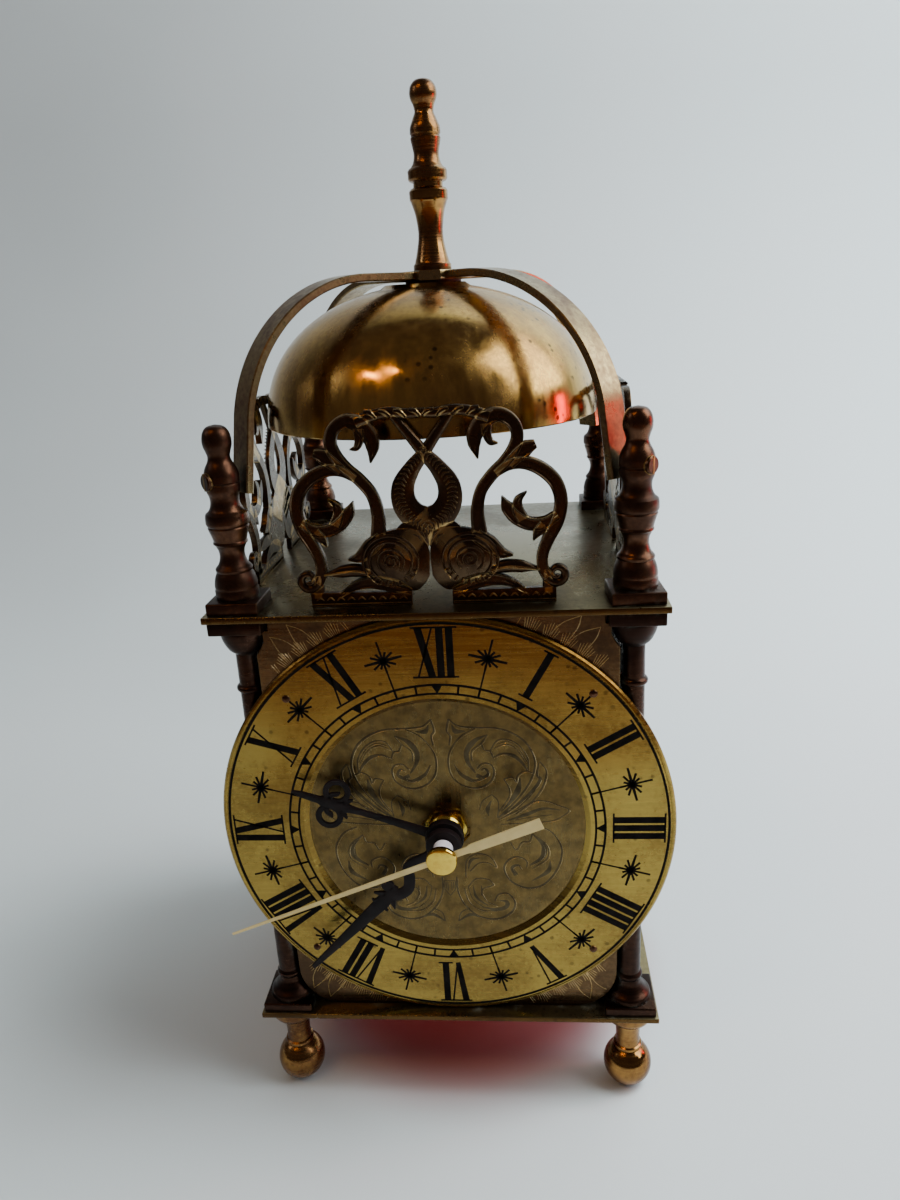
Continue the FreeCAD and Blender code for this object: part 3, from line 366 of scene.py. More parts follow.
def new_material(name):
    material = bpy.data.materials.new(name)
    material.use_nodes = True
    shader = material.node_tree.nodes["Principled BSDF"]
    return material, Tree(material.node_tree), shader


def place_group(t, name, **values):
    made = t.tree.nodes.new("ShaderNodeGroup")
    made.node_tree = GROUPS[name]
    for key, value in values.items():
        t.put(made.inputs[key.replace("_", " ")], value)
    return made


def metal(name, bright, toned, amount=0.5, cloud=60.0, specks=0.2, edge_colour=(0.72, 0.50, 0.2), edge=0.6,
          grime_and_shade=0.6, residue=0.0, rough=(0.22, 0.45), stretch=None, turn=(0, 0, 0), brush=0.2,
          edge_size=0.0006, bump=0.3, painted_shade_above=None, side_shade=None):
    """Toned brass: clouds of patina, rubbed edges, dirt with painted shade and residue in corners, and
    brushing.
    The optional height triple (low, high, tint) paints shade that darkens the colour with height. The
    optional side tint paints shade on upright faces, such as the edges of a plate."""
    material, t, shader = new_material(name)
    patina = place_group(t, "patina", Bright=(*bright, 1), Toned=(*toned, 1), Amount=amount,
                         Cloud_Scale=cloud, Specks=specks)
    wear_grime_and_shade = place_group(t, "wear_grime_and_shade", Edge_Size=edge_size)
    colour = patina.outputs["Color"]
    # Painted shade: upright faces, such as a plate's edges, are darkened by the side tint.
    if side_shade:
        upward = t.node("ShaderNodeSeparateXYZ",
                        Vector=t.node("ShaderNodeTexCoord").outputs["Normal"]).outputs["Z"]
        sides = t.ramp(t.math("MULTIPLY", upward, upward), 0.2, 0.6, 1.0, 0.0)
        colour = t.blend(sides, colour, (*side_shade, 1), "MULTIPLY")
    # Painted shade: the colour darkens with height, towards the top of the piece.
    if painted_shade_above:
        where = t.here()
        height = t.node("ShaderNodeSeparateXYZ", Vector=where).outputs["Z"]
        uneven = t.math("ADD", height, t.ramp(t.noise(where, 22.0, 2.0), 0.3, 0.7, -0.012, 0.012))
        colour = t.blend(t.ramp(uneven, *painted_shade_above[:2]), colour, (*painted_shade_above[2], 1), "MULTIPLY")
    # Corners darken towards near-black: grime, and painted shade from the occlusion mask.
    colour = t.blend(t.math("MULTIPLY", wear_grime_and_shade.outputs["Corner"], grime_and_shade), colour, (0.035, 0.022, 0.014, 1))
    colour = t.blend(t.math("MULTIPLY", wear_grime_and_shade.outputs["Edge"], edge), colour, (*edge_colour, 1))
    roughness = t.ramp(patina.outputs["Tone"], 0.0, 1.0, rough[0], rough[1])
    roughness = t.math("ADD", roughness, t.math("MULTIPLY", wear_grime_and_shade.outputs["Corner"], 0.2))
    height = t.math("MULTIPLY", patina.outputs["Spots"], -0.4)
    if stretch:
        lines = place_group(t, "brushing", Stretch=stretch, Turn=turn).outputs["Lines"]
        shade = t.ramp(lines, 0.3, 0.7, 1.0 - brush, 1.0 + brush * 0.4)
        colour = t.blend(1.0, colour, shade, "MULTIPLY")
        roughness = t.math("ADD", roughness, t.ramp(lines, 0.3, 0.7, -0.06, 0.06))
        height = t.math("ADD", height, t.math("MULTIPLY", lines, 0.5))
    else:
        where = t.here()
        height = t.math("ADD", height, t.math("MULTIPLY", t.noise(where, 700.0, 2.0), 0.35))
    if residue:
        chalk = place_group(t, "residue", Corner=wear_grime_and_shade.outputs["Corner"], Amount=residue)
        colour = t.blend(chalk.outputs["Mask"], colour, chalk.outputs["Color"])
        t.put(shader.inputs["Metallic"], t.math("SUBTRACT", 1.0, chalk.outputs["Mask"]))
        roughness = t.math("ADD", roughness, t.math("MULTIPLY", chalk.outputs["Mask"], 0.4))
    else:
        shader.inputs["Metallic"].default_value = 1.0
    relief = t.node("ShaderNodeBump", Strength=bump, Distance=0.0001, Height=height)
    t.put(shader.inputs["Base Color"], colour)
    t.put(shader.inputs["Roughness"], roughness)
    t.put(shader.inputs["Normal"], relief.outputs[0])
    return material


def coating(name, colour, other, rough=(0.3, 0.5), scale=120.0, metallic=0.0, coat=0.0, bump=0.2, grain=600.0,
            gloss=0.5):
    """Paint, plastic or plated finish with slight mottling and a fine surface texture."""
    material, t, shader = new_material(name)
    where = t.here()
    clouds = t.ramp(t.noise(where, scale, 4.0), 0.35, 0.65)
    fine = t.noise(where, grain, 2.0)
    t.put(shader.inputs["Base Color"], t.blend(clouds, (*colour, 1), (*other, 1)))
    t.put(shader.inputs["Roughness"], t.ramp(t.noise(where, scale * 2.3, 3.0), 0.3, 0.7, *rough))
    shader.inputs["Metallic"].default_value = metallic
    shader.inputs["Coat Weight"].default_value = coat
    shader.inputs["Specular IOR Level"].default_value = gloss
    relief = t.node("ShaderNodeBump", Strength=bump, Distance=0.00005, Height=fine)
    t.put(shader.inputs["Normal"], relief.outputs[0])
    return material


GOLD_EDGE = (0.80, 0.50, 0.14)
AGED = metal("aged_brass", (0.115, 0.052, 0.028), (0.04, 0.019, 0.012), 0.55, 70.0, 0.3, GOLD_EDGE, 0.3, 0.8,
             0.6, (0.25, 0.42), None, bump=0.3, edge_size=0.0003)
COLUMN = metal("column_brass", (0.05, 0.024, 0.015), (0.022, 0.011, 0.008), 0.55, 55.0, 0.3, GOLD_EDGE,
               0.35, 0.8, 1.0, (0.25, 0.42), (30, 30, 2600), brush=0.2, edge_size=0.0003)
# The plates' upright edges are darkened: painted shade.
PLATE = metal("plate_brass", (0.24, 0.195, 0.10), (0.13, 0.10, 0.055), 0.45, 35.0, 0.35, (0.85, 0.58, 0.2),
              0.9, 0.5, 0.9, (0.26, 0.4), None, bump=0.15, edge_size=0.0002, side_shade=(0.42, 0.27, 0.16))
PANEL = metal("panel_brass", (0.165, 0.095, 0.042), (0.062, 0.036, 0.02), 0.5, 40.0, 0.3, GOLD_EDGE, 0.8, 0.6,
              0.25, (0.22, 0.36), (20, 20, 1800), brush=0.12, edge_size=0.0003)
TURNED = metal("turned_brass", (0.34, 0.175, 0.05), (0.12, 0.05, 0.022), 0.52, 80.0, 0.3, GOLD_EDGE, 0.3, 0.7,
               0.15, (0.13, 0.3), (30, 30, 2600), brush=0.15, edge_size=0.0003)
STRAP = metal("strap_brass", (0.36, 0.265, 0.12), (0.135, 0.07, 0.038), 0.45, 50.0, 0.35, (0.8, 0.5, 0.2),
              0.6, 0.6, 0.3, (0.24, 0.4), None, bump=0.25, edge_size=0.0003)
BELL = metal("bell_brass", (0.56, 0.335, 0.08), (0.31, 0.165, 0.05), 0.45, 28.0, 0.75, (0.7, 0.45, 0.15), 0.3,
             0.3, 0.0, (0.16, 0.26), (260, 260, 30), brush=0.16, bump=0.2)
FRET = metal("cast_brass", (0.085, 0.052, 0.028), (0.03, 0.018, 0.012), 0.5, 90.0, 0.2, (0.56, 0.38, 0.15),
             0.7, 0.6, 0.2, (0.22, 0.38), None, edge_size=0.00016, bump=0.4)
# The dial's colour darkens towards its top: painted shade.
DIAL = metal("dial_brass", (0.33, 0.225, 0.052), (0.19, 0.115, 0.028), 0.42, 42.0, 0.55, (0.85, 0.55, 0.12),
             0.5, 0.35, 0.0, (0.22, 0.34), (60, 60, 1500), (0, 0.35, 0), 0.12, bump=0.2, edge_size=0.0003,
             painted_shade_above=(0.086, 0.118, (0.78, 0.60, 0.52)))
CENTRE = metal("engraved_brass", (0.050, 0.038, 0.021), (0.028, 0.020, 0.012), 0.5, 60.0, 0.3, GOLD_EDGE, 0.2,
               0.8, 0.15, (0.26, 0.38), (900, 60, 60), brush=0.1, bump=0.2)
CUT_LINE = metal("cut_line", (0.018, 0.012, 0.008), (0.007, 0.005, 0.004), 0.5, 200.0, 0.0,
                 (0.75, 0.58, 0.3), 0.1, 0.2, 0.0, (0.3, 0.45), None, edge_size=0.0001)
# Pale brass for the leaf cuts in the front plate, and for the painted highlights next to the dial's scroll
# cuts.
PALE_CUT_AND_HIGHLIGHT = metal("pale_cut_and_painted_highlight", (0.50, 0.40, 0.24), (0.27, 0.20, 0.11), 0.45, 160.0, 0.0, GOLD_EDGE, 0.2,
                   0.2, 0.0, (0.25, 0.4), None, edge_size=0.0001)
GILT = metal("gilt_brass", (0.72, 0.50, 0.085), (0.50, 0.28, 0.05), 0.35, 120.0, 0.15, (0.95, 0.75, 0.3), 0.5,
             0.5, 0.0, (0.12, 0.25), None, bump=0.1, edge_size=0.0002)
STEEL = metal("zinc_steel", (0.55, 0.55, 0.53), (0.38, 0.37, 0.35), 0.4, 120.0, 0.2, (0.7, 0.7, 0.68), 0.4,
              0.5, 0.0, (0.3, 0.45), (60, 60, 900), brush=0.15)
INK = coating("dial_ink", (0.004, 0.0035, 0.0035), (0.010, 0.008, 0.007), (0.65, 0.85), 300.0, gloss=0.06)
HAND_BLACK = coating("hand_lacquer", (0.006, 0.004, 0.004), (0.012, 0.007, 0.007), (0.45, 0.6), 200.0,
                     gloss=0.14)
HAND_GOLD = coating("second_hand_paint", (0.80, 0.63, 0.28), (0.70, 0.53, 0.22), (0.38, 0.5), 150.0, 0.35)
WHITE = coating("white_plastic", (0.86, 0.80, 0.82), (0.76, 0.68, 0.72), (0.3, 0.45), 200.0, coat=0.2)
CASE_BLACK = coating("case_plastic", (0.020, 0.020, 0.021), (0.032, 0.032, 0.033), (0.42, 0.6), 90.0,
                     grain=2500.0, bump=0.5)
SLEEVE = coating("battery_sleeve", (0.05, 0.07, 0.14), (0.07, 0.09, 0.17), (0.22, 0.3), 60.0, coat=0.3)
COPPER = coating("copper_wire", (0.55, 0.22, 0.09), (0.42, 0.15, 0.06), (0.25, 0.4), 700.0, 0.9, grain=4000.0)
IRON = coating("soft_iron", (0.30, 0.30, 0.31), (0.20, 0.20, 0.21), (0.35, 0.5), 150.0, 1.0)
BOARD = coating("board_resin", (0.02, 0.13, 0.05), (0.03, 0.17, 0.07), (0.3, 0.4), 250.0, coat=0.2)
FIBRE = coating("fibre_washer", (0.10, 0.055, 0.04), (0.14, 0.08, 0.055), (0.6, 0.8), 500.0)


# ================================================================ case
def make_plate(name, z0, z1):
    half = low_high(name)[1].x
    bm = bmesh.new()
    slab(bm, (-half, -half, z0), (half, half, z1), 0.22, 3)
    finish(bm, name + "_sheet", "case", [name], PLATE)


def make_column(corner, sx, sy):
    x, y = sx * COLUMN_AXIS, sy * COLUMN_AXIS
    low, high = low_high("base_plate")[1].z, low_high("top_plate")[0].z
    block_half, capital_half = 6.1, 5.9
    shaft = outline([
        ("line", [(0, low + 2.3), (5.2, low + 2.3), (5.4, low + 2.6)]),
        ("curve", [(5.1, 28.9), (4.1, 29.9), (3.1, 31.4), (2.75, 32.9)]),
        ("line", [(2.9, 33.2)]),
        ("curve", [(3.2, 33.7), (3.2, 34.3), (2.9, 34.8)]),
        ("line", [(2.75, 35.0), (2.72, 45.0), (2.42, 112.0), (2.75, 112.2)]),
        ("curve", [(3.05, 112.6), (3.05, 113.2), (2.75, 113.6)]),
        ("line", [(2.4, 113.8), (2.35, 121.3), (2.6, 121.5)]),
        ("curve", [(3.7, 122.6), (4.6, 124.5), (5.0, 126.4), (4.9, 127.3)]),
        ("line", [(0, 127.3)]),
    ], 5)
    bm = bmesh.new()
    spun(bm, shaft, (x, y), 56)
    slab(bm, (x - block_half, y - block_half, low), (x + block_half, y + block_half, low + 2.4), 0.35, 3)
    slab(bm, (x - capital_half, y - capital_half, 127.2), (x + capital_half, y + capital_half, high), 0.3, 3)
    node = "column_" + corner
    finish(bm, node + "_turning", "case", [node], COLUMN)


def make_foot(corner, sx, sy):
    x, y = sx * COLUMN_AXIS, sy * COLUMN_AXIS
    ball_r, flat_r, neck_r = 6.0, 1.5, 3.2
    centre = math.sqrt(ball_r ** 2 - flat_r ** 2)
    a0, a1 = -math.acos(flat_r / ball_r), math.acos(neck_r / ball_r)
    ball = [(ball_r * math.cos(a0 + (a1 - a0) * i / 24), centre + ball_r * math.sin(a0 + (a1 - a0) * i / 24))
            for i in range(25)]
    top = FOOT_HIGH.z
    foot = outline([
        ("line", [(0, 0)] + ball),
        ("line", [(3.45, 11.2), (3.6, 11.6), (3.45, 12.1), (3.05, 12.4)]),
        ("curve", [(2.95, 14.5), (3.05, 17.0), (3.3, 19.4)]),
        ("line", [(3.3, 19.8), (4.4, 20.2)]),
        ("curve", [(5.4, 20.8), (6.0, 21.8), (6.2, 23.0)]),
        ("line", [(6.2, top), (0, top)]),
    ], 5)
    node = "ball_foot_" + corner
    turned_piece(foot, (x, y), 64, node + "_turning", node, TURNED)


def make_plinths():
    half, turn = 5.65, {"front_right": math.radians(3.0), "rear_left": math.radians(-2.0)}
    low, high = low_high("plinth_blocks")
    for corner, (sx, sy) in CORNERS.items():
        x, y = sx * COLUMN_AXIS, sy * COLUMN_AXIS
        bm = bmesh.new()
        slab(bm, (x - half, y - half, low.z), (x + half, y + half, high.z), 0.35, 3)
        bmesh.ops.rotate(bm, cent=(x, y, 0), matrix=Matrix.Rotation(turn.get(corner, 0.0), 3, "Z"),
                         verts=bm.verts)
        finish(bm, "plinth_block_" + corner, "case", ["plinth_blocks"], AGED)


def make_corner_finial(corner, sx, sy):
    x, y = sx * COLUMN_AXIS, sy * COLUMN_AXIS
    base = low_high("plinth_blocks")[1].z
    turning = outline([
        ("line", [(0, base), (4.6, base), (4.7, base + 0.3), (4.7, 136.2), (4.55, 136.6)]),
        ("curve", [(4.6, 137.4), (4.3, 139.0), (3.75, 140.3)]),
        ("line", [(3.9, 140.5), (3.95, 140.9), (3.8, 141.2)]),
        ("curve", [(3.15, 142.0), (2.7, 143.4), (2.75, 144.9), (3.3, 146.2)]),
        ("line", [(3.65, 146.5), (3.65, 146.8), (3.5, 147.1)]),
        ("curve", [(3.85, 148.4), (4.35, 150.0)]),
        ("line", [(4.2, 150.3), (4.5, 150.7), (4.6, 151.1), (4.55, 152.4), (4.4, 153.0)]),
        ("curve", [(3.55, 153.8), (3.05, 155.2), (3.1, 156.6), (3.5, 157.8), (3.6, 159.1)]),
        ("line", [(3.42, 159.3), (3.42, 159.45), (3.6, 159.65)]),
        ("curve", [(3.6, 161.2), (3.2, 162.6), (2.5, 163.9), (2.3, 164.9), (2.55, 165.9)]),
        ("curve", [(2.95, 167.2), (2.98, 168.6), (2.6, 170.0), (1.7, 171.0), (0, 171.4)]),
    ], 5)
    node = "corner_finial_" + corner
    turned_piece(turning, (x, y), 56, node + "_turning", node, AGED)


def make_strap_screws():
    """Slotted cheese-head screws on the outer sides of the finials."""
    z, reach, head_r = 160.0, COLUMN_AXIS * math.sqrt(2) + 2.9, 1.85
    for corner, (sx, sy) in CORNERS.items():
        bm = bmesh.new()
        line = [(0, reach), (head_r, reach), (head_r, reach + 0.9), (head_r - 0.3, reach + 1.15),
                (0, reach + 1.2)]
        spun_y(bm, line, 40, z, 0.0, False)
        slot = bmesh.ops.create_cube(bm, size=1.0)["verts"]
        bmesh.ops.scale(bm, vec=(0.45, 0.5, 2 * head_r - 0.1), verts=slot)
        bmesh.ops.translate(bm, vec=(0, reach + 0.97, z), verts=slot)
        bmesh.ops.rotate(bm, cent=(0, 0, 0), matrix=Matrix.Rotation(math.atan2(-sx, sy), 3, "Z"),
                         verts=bm.verts)
        finish(bm, "strap_screw_" + corner, "case", ["strap_screws"], AGED)


def make_top_finial():
    base = low_high("bell_cage_hub")[1].z
    turning = outline([
        ("line", [(0, base), (4.3, base), (4.45, base + 0.3), (4.45, 200.9), (4.1, 201.3), (4.0, 201.7)]),
        ("curve", [(3.5, 203.6), (2.95, 206.6), (2.95, 209.0), (3.4, 212.0), (4.2, 214.5)]),
        ("line", [(4.42, 214.8), (4.45, 216.6), (4.1, 217.1), (3.4, 217.4), (3.4, 218.4)]),
        ("line", [(4.2, 218.7), (4.5, 219.1), (4.52, 220.8), (4.2, 221.3), (3.8, 221.5)]),
        ("curve", [(3.15, 222.6), (2.87, 224.2), (3.15, 225.9), (3.45, 227.5)]),
        ("line", [(3.25, 227.8), (3.25, 228.1), (3.46, 228.4)]),
        ("curve", [(3.35, 229.8), (2.7, 231.4), (2.15, 232.8), (2.4, 234.2)]),
        ("curve", [(2.95, 235.4), (3.08, 236.7), (2.7, 238.0), (1.7, 239.0), (0, 239.3)]),
    ], 6)
    turned_piece(turning, (0, 0), 64, "top_finial_turning", "top_finial", TURNED)


# ================================================================ bell and cage
def make_bell():
    """Spun dome with a thin wall and a slightly thickened rim."""
    low, high = low_high("bell")
    radius, rim, height = (high.x - low.x) / 2, low.z, high.z - low.z
    cx, wall, power = (high.x + low.x) / 2, 1.2, 2.15

    def side(r, h, steps=40):
        points = []
        for i in range(steps + 1):
            a = math.radians(14 + 76 * i / steps)
            c = max(math.cos(a), 0.0) if i < steps else 0.0
            points.append((r * math.sin(a) ** (2 / power), rim + h * c ** (2 / power)))
        return points

    outer = side(radius, height)
    inner = side(radius - wall, height - wall)
    line = [(4.4, high.z), (outer[0][0] - 1.2, high.z)] + outer[:-1]
    line += [(radius, rim + 0.25), (radius - 0.2, rim), (radius - wall + 0.1, rim)]
    line += list(reversed(inner[:-1])) + [(4.4, high.z - wall)]
    bm = bmesh.new()
    spun(bm, line + line[:1], (cx, 0), 128)
    bmesh.ops.remove_doubles(bm, verts=bm.verts, dist=1e-4)
    finish(bm, "bell_dome", "case", ["bell"], BELL)


def make_hub():
    low, high = low_high("bell_cage_hub")
    half = 8.0
    bm = bmesh.new()
    slab(bm, (-half, -half, low.z), (half, half, high.z), 0.25, 3, math.radians(45))
    corners = [Vector((math.cos(a), math.sin(a), 0)) for a in (0, math.pi / 2, math.pi, 1.5 * math.pi)]
    for out in corners:
        cut = bmesh.ops.bisect_plane(bm, geom=bm.verts[:] + bm.edges[:] + bm.faces[:],
                                     plane_co=out * half * 1.1, plane_no=out, clear_outer=True)
        bmesh.ops.edgeloop_fill(bm, edges=[g for g in cut["geom_cut"] if isinstance(g, BMEdge)])
    finish(bm, "bell_cage_hub_plate", "case", ["bell_cage_hub"], STRAP)


def make_strap(corner, sx, sy):
    """Flat brass strip bent over the bell, with softened long edges."""
    top, high, thick, wide = low_high("bell_cage_hub")[1].z - 0.2, 33.4, 1.7, 6.3
    reach = 41.0 if corner == "front_right" else high
    arc_end, end, foot, start = 54.9, 56.7, 156.8, 8.0
    cx, cz = arc_end - reach, top - high
    lean = math.atan2(end - arc_end, cz - foot)
    stations = [((start, top), 0.0), ((cx, top), 0.0)]
    quarter = math.atan2(reach, high * math.tan(lean))
    for i in range(1, 37):
        a = quarter * i / 36
        stations.append(((cx + reach * math.sin(a), cz + high * math.cos(a)),
                         math.atan2(high * math.sin(a), reach * math.cos(a))))
    stations.append(((end, foot), stations[-1][1]))
    half, soft = wide / 2, 0.25
    section = [(-half + soft, 0), (half - soft, 0), (half, -soft), (half, soft - thick),
               (half - soft, -thick), (soft - half, -thick), (-half, soft - thick), (-half, -soft)]
    placements = [Matrix.Translation((rho, 0, z)) @ Matrix.Rotation(turn, 4, "Y")
                  for (rho, z), turn in stations]
    bm = bmesh.new()
    sweep(bm, placements, [(0, u, v) for u, v in section])
    bmesh.ops.rotate(bm, cent=(0, 0, 0), matrix=Matrix.Rotation(math.atan2(sy, sx), 3, "Z"), verts=bm.verts)
    node = "bell_strap_" + corner
    finish(bm, node + "_strip", "case", [node], STRAP)


# ================================================================ frets
# One half of the fret, right of its middle, as (x, z) above the top plate
STEM_HOOK = [(10.6, 15.2), (10.3, 19.8), (11.2, 24.0), (13.5, 27.2), (16.1, 29.7), (18.1, 32.4), (18.9, 35.2),
             (17.9, 37.9), (15.2, 39.3), (12.2, 38.3), (10.6, 36.0), (10.3, 33.6), (10.9, 30.7)]
HOOK_LOBE = [(12.8, 37.6), (12.9, 35.4), (13.6, 33.9), (15.0, 33.6)]
RING_BAND = [(14.4, 27.6), (17.2, 29.3), (20.3, 29.5), (23.7, 28.0), (26.4, 25.2), (27.4, 21.4), (26.6, 17.4),
             (24.7, 13.6), (23.5, 10.4), (23.5, 7.4), (24.7, 5.2)]
RING_LEAF = [(26.6, 18.6), (24.0, 17.0), (21.0, 16.9), (18.2, 18.4), (16.4, 20.6), (15.4, 22.8)]
LEAF_TIP = [(19.6, 17.8), (18.6, 20.0), (18.8, 22.0), (20.5, 23.6)]
SPUR = [(17.0, 29.4), (18.9, 31.2), (20.6, 32.4), (22.5, 33.2)]
NOTCH = [(23.9, 16.6), (22.6, 15.2), (21.6, 13.4)]
FIN = [(12.8, 7.3), (16.0, 7.9), (19.2, 7.7), (22.9, 7.1)]
FIN_ROOT = [(9.9, 15.0), (12.6, 12.9), (14.8, 11.0), (17.4, 10.4)]
TAIL = [(5.6, 10.6), (3.6, 14.4), (0.4, 17.4), (-2.9, 19.4), (-4.7, 22.3), (-4.6, 25.8), (-2.6, 29.2),
        (-0.2, 32.0), (2.0, 34.9), (4.6, 38.4), (5.8, 39.9)]
HEAD_EDGE = [(0.3, 6.4), (1.7, 4.4), (3.8, 3.2), (7.6, 4.3), (11.8, 6.0), (13.6, 8.0), (14.2, 10.2),
             (12.9, 13.2), (10.2, 15.7), (6.6, 16.7), (2.6, 16.4), (0.2, 12.4)]
HUMP = [(4.4, 3.0), (7.4, 4.2), (11.0, 5.2), (14.0, 5.2), (16.8, 4.4), (19.6, 2.6)]
RAIL = [(0, 40.3), (3.0, 40.2), (6.0, 40.6), (9.0, 40.3), (11.6, 39.5), (13.4, 38.9)]
EYE = (8.4, 9.8)


def filled(bm, points, back, front):
    """Closed outline given thickness, with its front edge softened."""
    verts = [bm.verts.new((p[0], back, p[1])) for p in points]
    face = bm.faces.new(verts)
    made = bmesh.ops.extrude_face_region(bm, geom=[face])
    bmesh.ops.translate(bm, vec=(0, front - back, 0), verts=parts(made, BMVert))
    cap = parts(made, BMFace)
    bmesh.ops.inset_region(bm, faces=cap, thickness=0.18, depth=0.0)
    raised = -0.12 if front < back else 0.12
    bmesh.ops.translate(bm, vec=(0, raised, 0), verts=list({v for f in cap for v in f.verts}))


def fret_half(bm, side):
    """Dolphin, ring and scrolls on one side. side is 1 for the right half and -1 for the left."""
    back, front = FRET_BACK, FRET_FRONT
    lift = 0.0 if side > 0 else 0.12

    def trace(line, widths, deep=back, face=front, section=ROUNDED):
        strip(bm, mirrored(line) if side < 0 else line, widths, section, deep, face)

    def put(points, widths, section=RIMMED, deep=back, face=front, per=6):
        trace(smooth(points, per), widths, deep, face, section)

    put(TAIL, [8.2, 7.8, 6.4, 5.6, 5.2, 4.6, 3.4, 2.6, 2.2, 1.9, 1.6], ROUNDED, back, front + 0.25 - lift)
    put(STEM_HOOK, [3.2, 2.7, 2.5, 2.5, 2.5, 2.6, 2.6, 2.5, 2.9, 3.6, 3.6, 2.6, 0.3])
    put(HOOK_LOBE, [2.2, 1.8, 1.4, 0.2])
    put(RING_BAND, [1.6, 2.4, 2.7, 2.9, 2.9, 2.8, 2.8, 2.6, 2.4, 2.4, 2.6], per=7)
    put(RING_LEAF, [2.0, 2.6, 2.8, 3.0, 2.6, 0.3])
    put(LEAF_TIP, [2.6, 2.4, 1.8, 0.2])
    put(SPUR, [2.6, 2.9, 3.2, 1.6])
    put(NOTCH, [2.6, 2.2, 0.3])
    put(FIN, [2.2, 2.8, 2.6, 0.4], ROUNDED)
    put(FIN, [0.3, 0.5, 0.5, 0.2], RIDGE, front + 0.1, front - 0.12)
    put(FIN_ROOT, [3.0, 3.4, 2.6, 0.4])
    put(RAIL, [1.9, 2.0, 2.1, 2.2, 2.4, 2.4], ROUNDED)
    for i in range(4):
        x = 1.2 + 3.0 * i
        put([(x - 1.2, 39.7), (x, 40.6), (x + 1.3, 41.0)], [0.8, 1.3, 0.7], ROUNDED, back, front - 0.15, 5)
    curl = spiral(26.4, 6.0, 2.3, 0.5, math.radians(200), 1.35)
    trace(curl, [1.9, 1.7, 1.2, 1.0])

    head = smooth(HEAD_EDGE + HEAD_EDGE[:1], 5)[:-1]
    filled(bm, mirrored(head) if side < 0 else head, back, front + 0.35 - lift)
    skin = front + 0.28 - lift
    ex, ez = EYE
    for radius, thick in ((4.6, 0.7), (5.9, 0.6), (2.9, 0.6)):
        lid = arc(EYE, radius, radius * 0.95, range(-60, 231, 15))
        trace(lid, [0.2, thick, thick, thick, 0.2], skin, skin - 0.4)
    eye = spiral(ex, ez, 1.9, 0.25, math.radians(210), -1.7)
    trace(eye, [0.55, 0.5, 0.4], skin, skin - 0.42)
    for i in range(9):
        a = math.radians(206 + 15 * i)
        ray = [(ex + 5.0 * math.cos(a), ez + 4.4 * math.sin(a)),
               (ex + 6.0 * math.cos(a), ez + 5.4 * math.sin(a))]
        trace(ray, [0.5, 0.9], skin + 0.1, skin - 0.35)
    tail = smooth(TAIL, 8)
    for i in range(10, len(tail) - 22, 2):
        ahead = (tail[i + 1] - tail[i - 1]).normalized()
        normal = Vector((ahead.y, -ahead.x))
        wide = 2.5 - 1.4 * i / len(tail)
        bend = tail[i] + ahead * 0.5
        scale = [tail[i] - normal * wide * 0.85, bend - normal * wide * 0.3, tail[i] + normal * wide * 0.25]
        trace(scale, [0.15, 0.5, 0.15], skin + 0.12, skin - 0.32)

    base = [(side * 4.3, 0.0), (side * 26.2, 0.0), (side * 26.2, 3.2), (side * 4.3, 3.0)]
    filled(bm, base, back, front + 0.3)
    put(HUMP, [1.6, 3.2, 3.2, 2.6, 1.9, 1.0], RIMMED)
    trace([(4.6, 0.5), (26.0, 0.5)], [0.7], back, front + 0.02)
    for i in range(9):
        x = 6.2 + 2.25 * i
        bead = smooth([(x - 0.8, 1.5), (x, 2.1), (x + 0.8, 1.5)], 3)
        trace(bead, [0.2, 0.55, 0.2], back, front + 0.05)
    trace([(24.6, 2.0), (24.6, 7.0)], [2.6, 2.2], back, front + 0.2)


def make_frets():
    bm = bmesh.new()
    for side in (1, -1):
        fret_half(bm, side)
    low = low_high("front_fret")[1].z - 41.3
    bmesh.ops.translate(bm, vec=(0, 0, low), verts=bm.verts)
    finish(bm, "front_fret_casting", "case", ["front_fret"], FRET, 40)
    front = bpy.data.objects["front_fret_casting"]
    for side, turn in (("left", -90), ("right", 90)):
        mesh = front.data.copy()
        mesh.transform(Matrix.Rotation(math.radians(turn), 4, "Z"))
        place(mesh, side + "_fret_casting", "case", [side + "_fret"], FRET, 40)


# ================================================================ dial
NUMERALS = ["XII", "I", "II", "III", "IIII", "V", "VI", "VII", "VIII", "IX", "X", "XI"]
LETTER_WIDTH = {"I": 2.1, "V": 4.3, "X": 4.4}
INK_UP = 0.03


def ink_stroke(bm, points, widths, clock):
    line = [on_dial(u, v, clock) for u, v in points]
    strip(bm, line, widths, FLAT, RING_FRONT + 0.01, RING_FRONT - INK_UP)


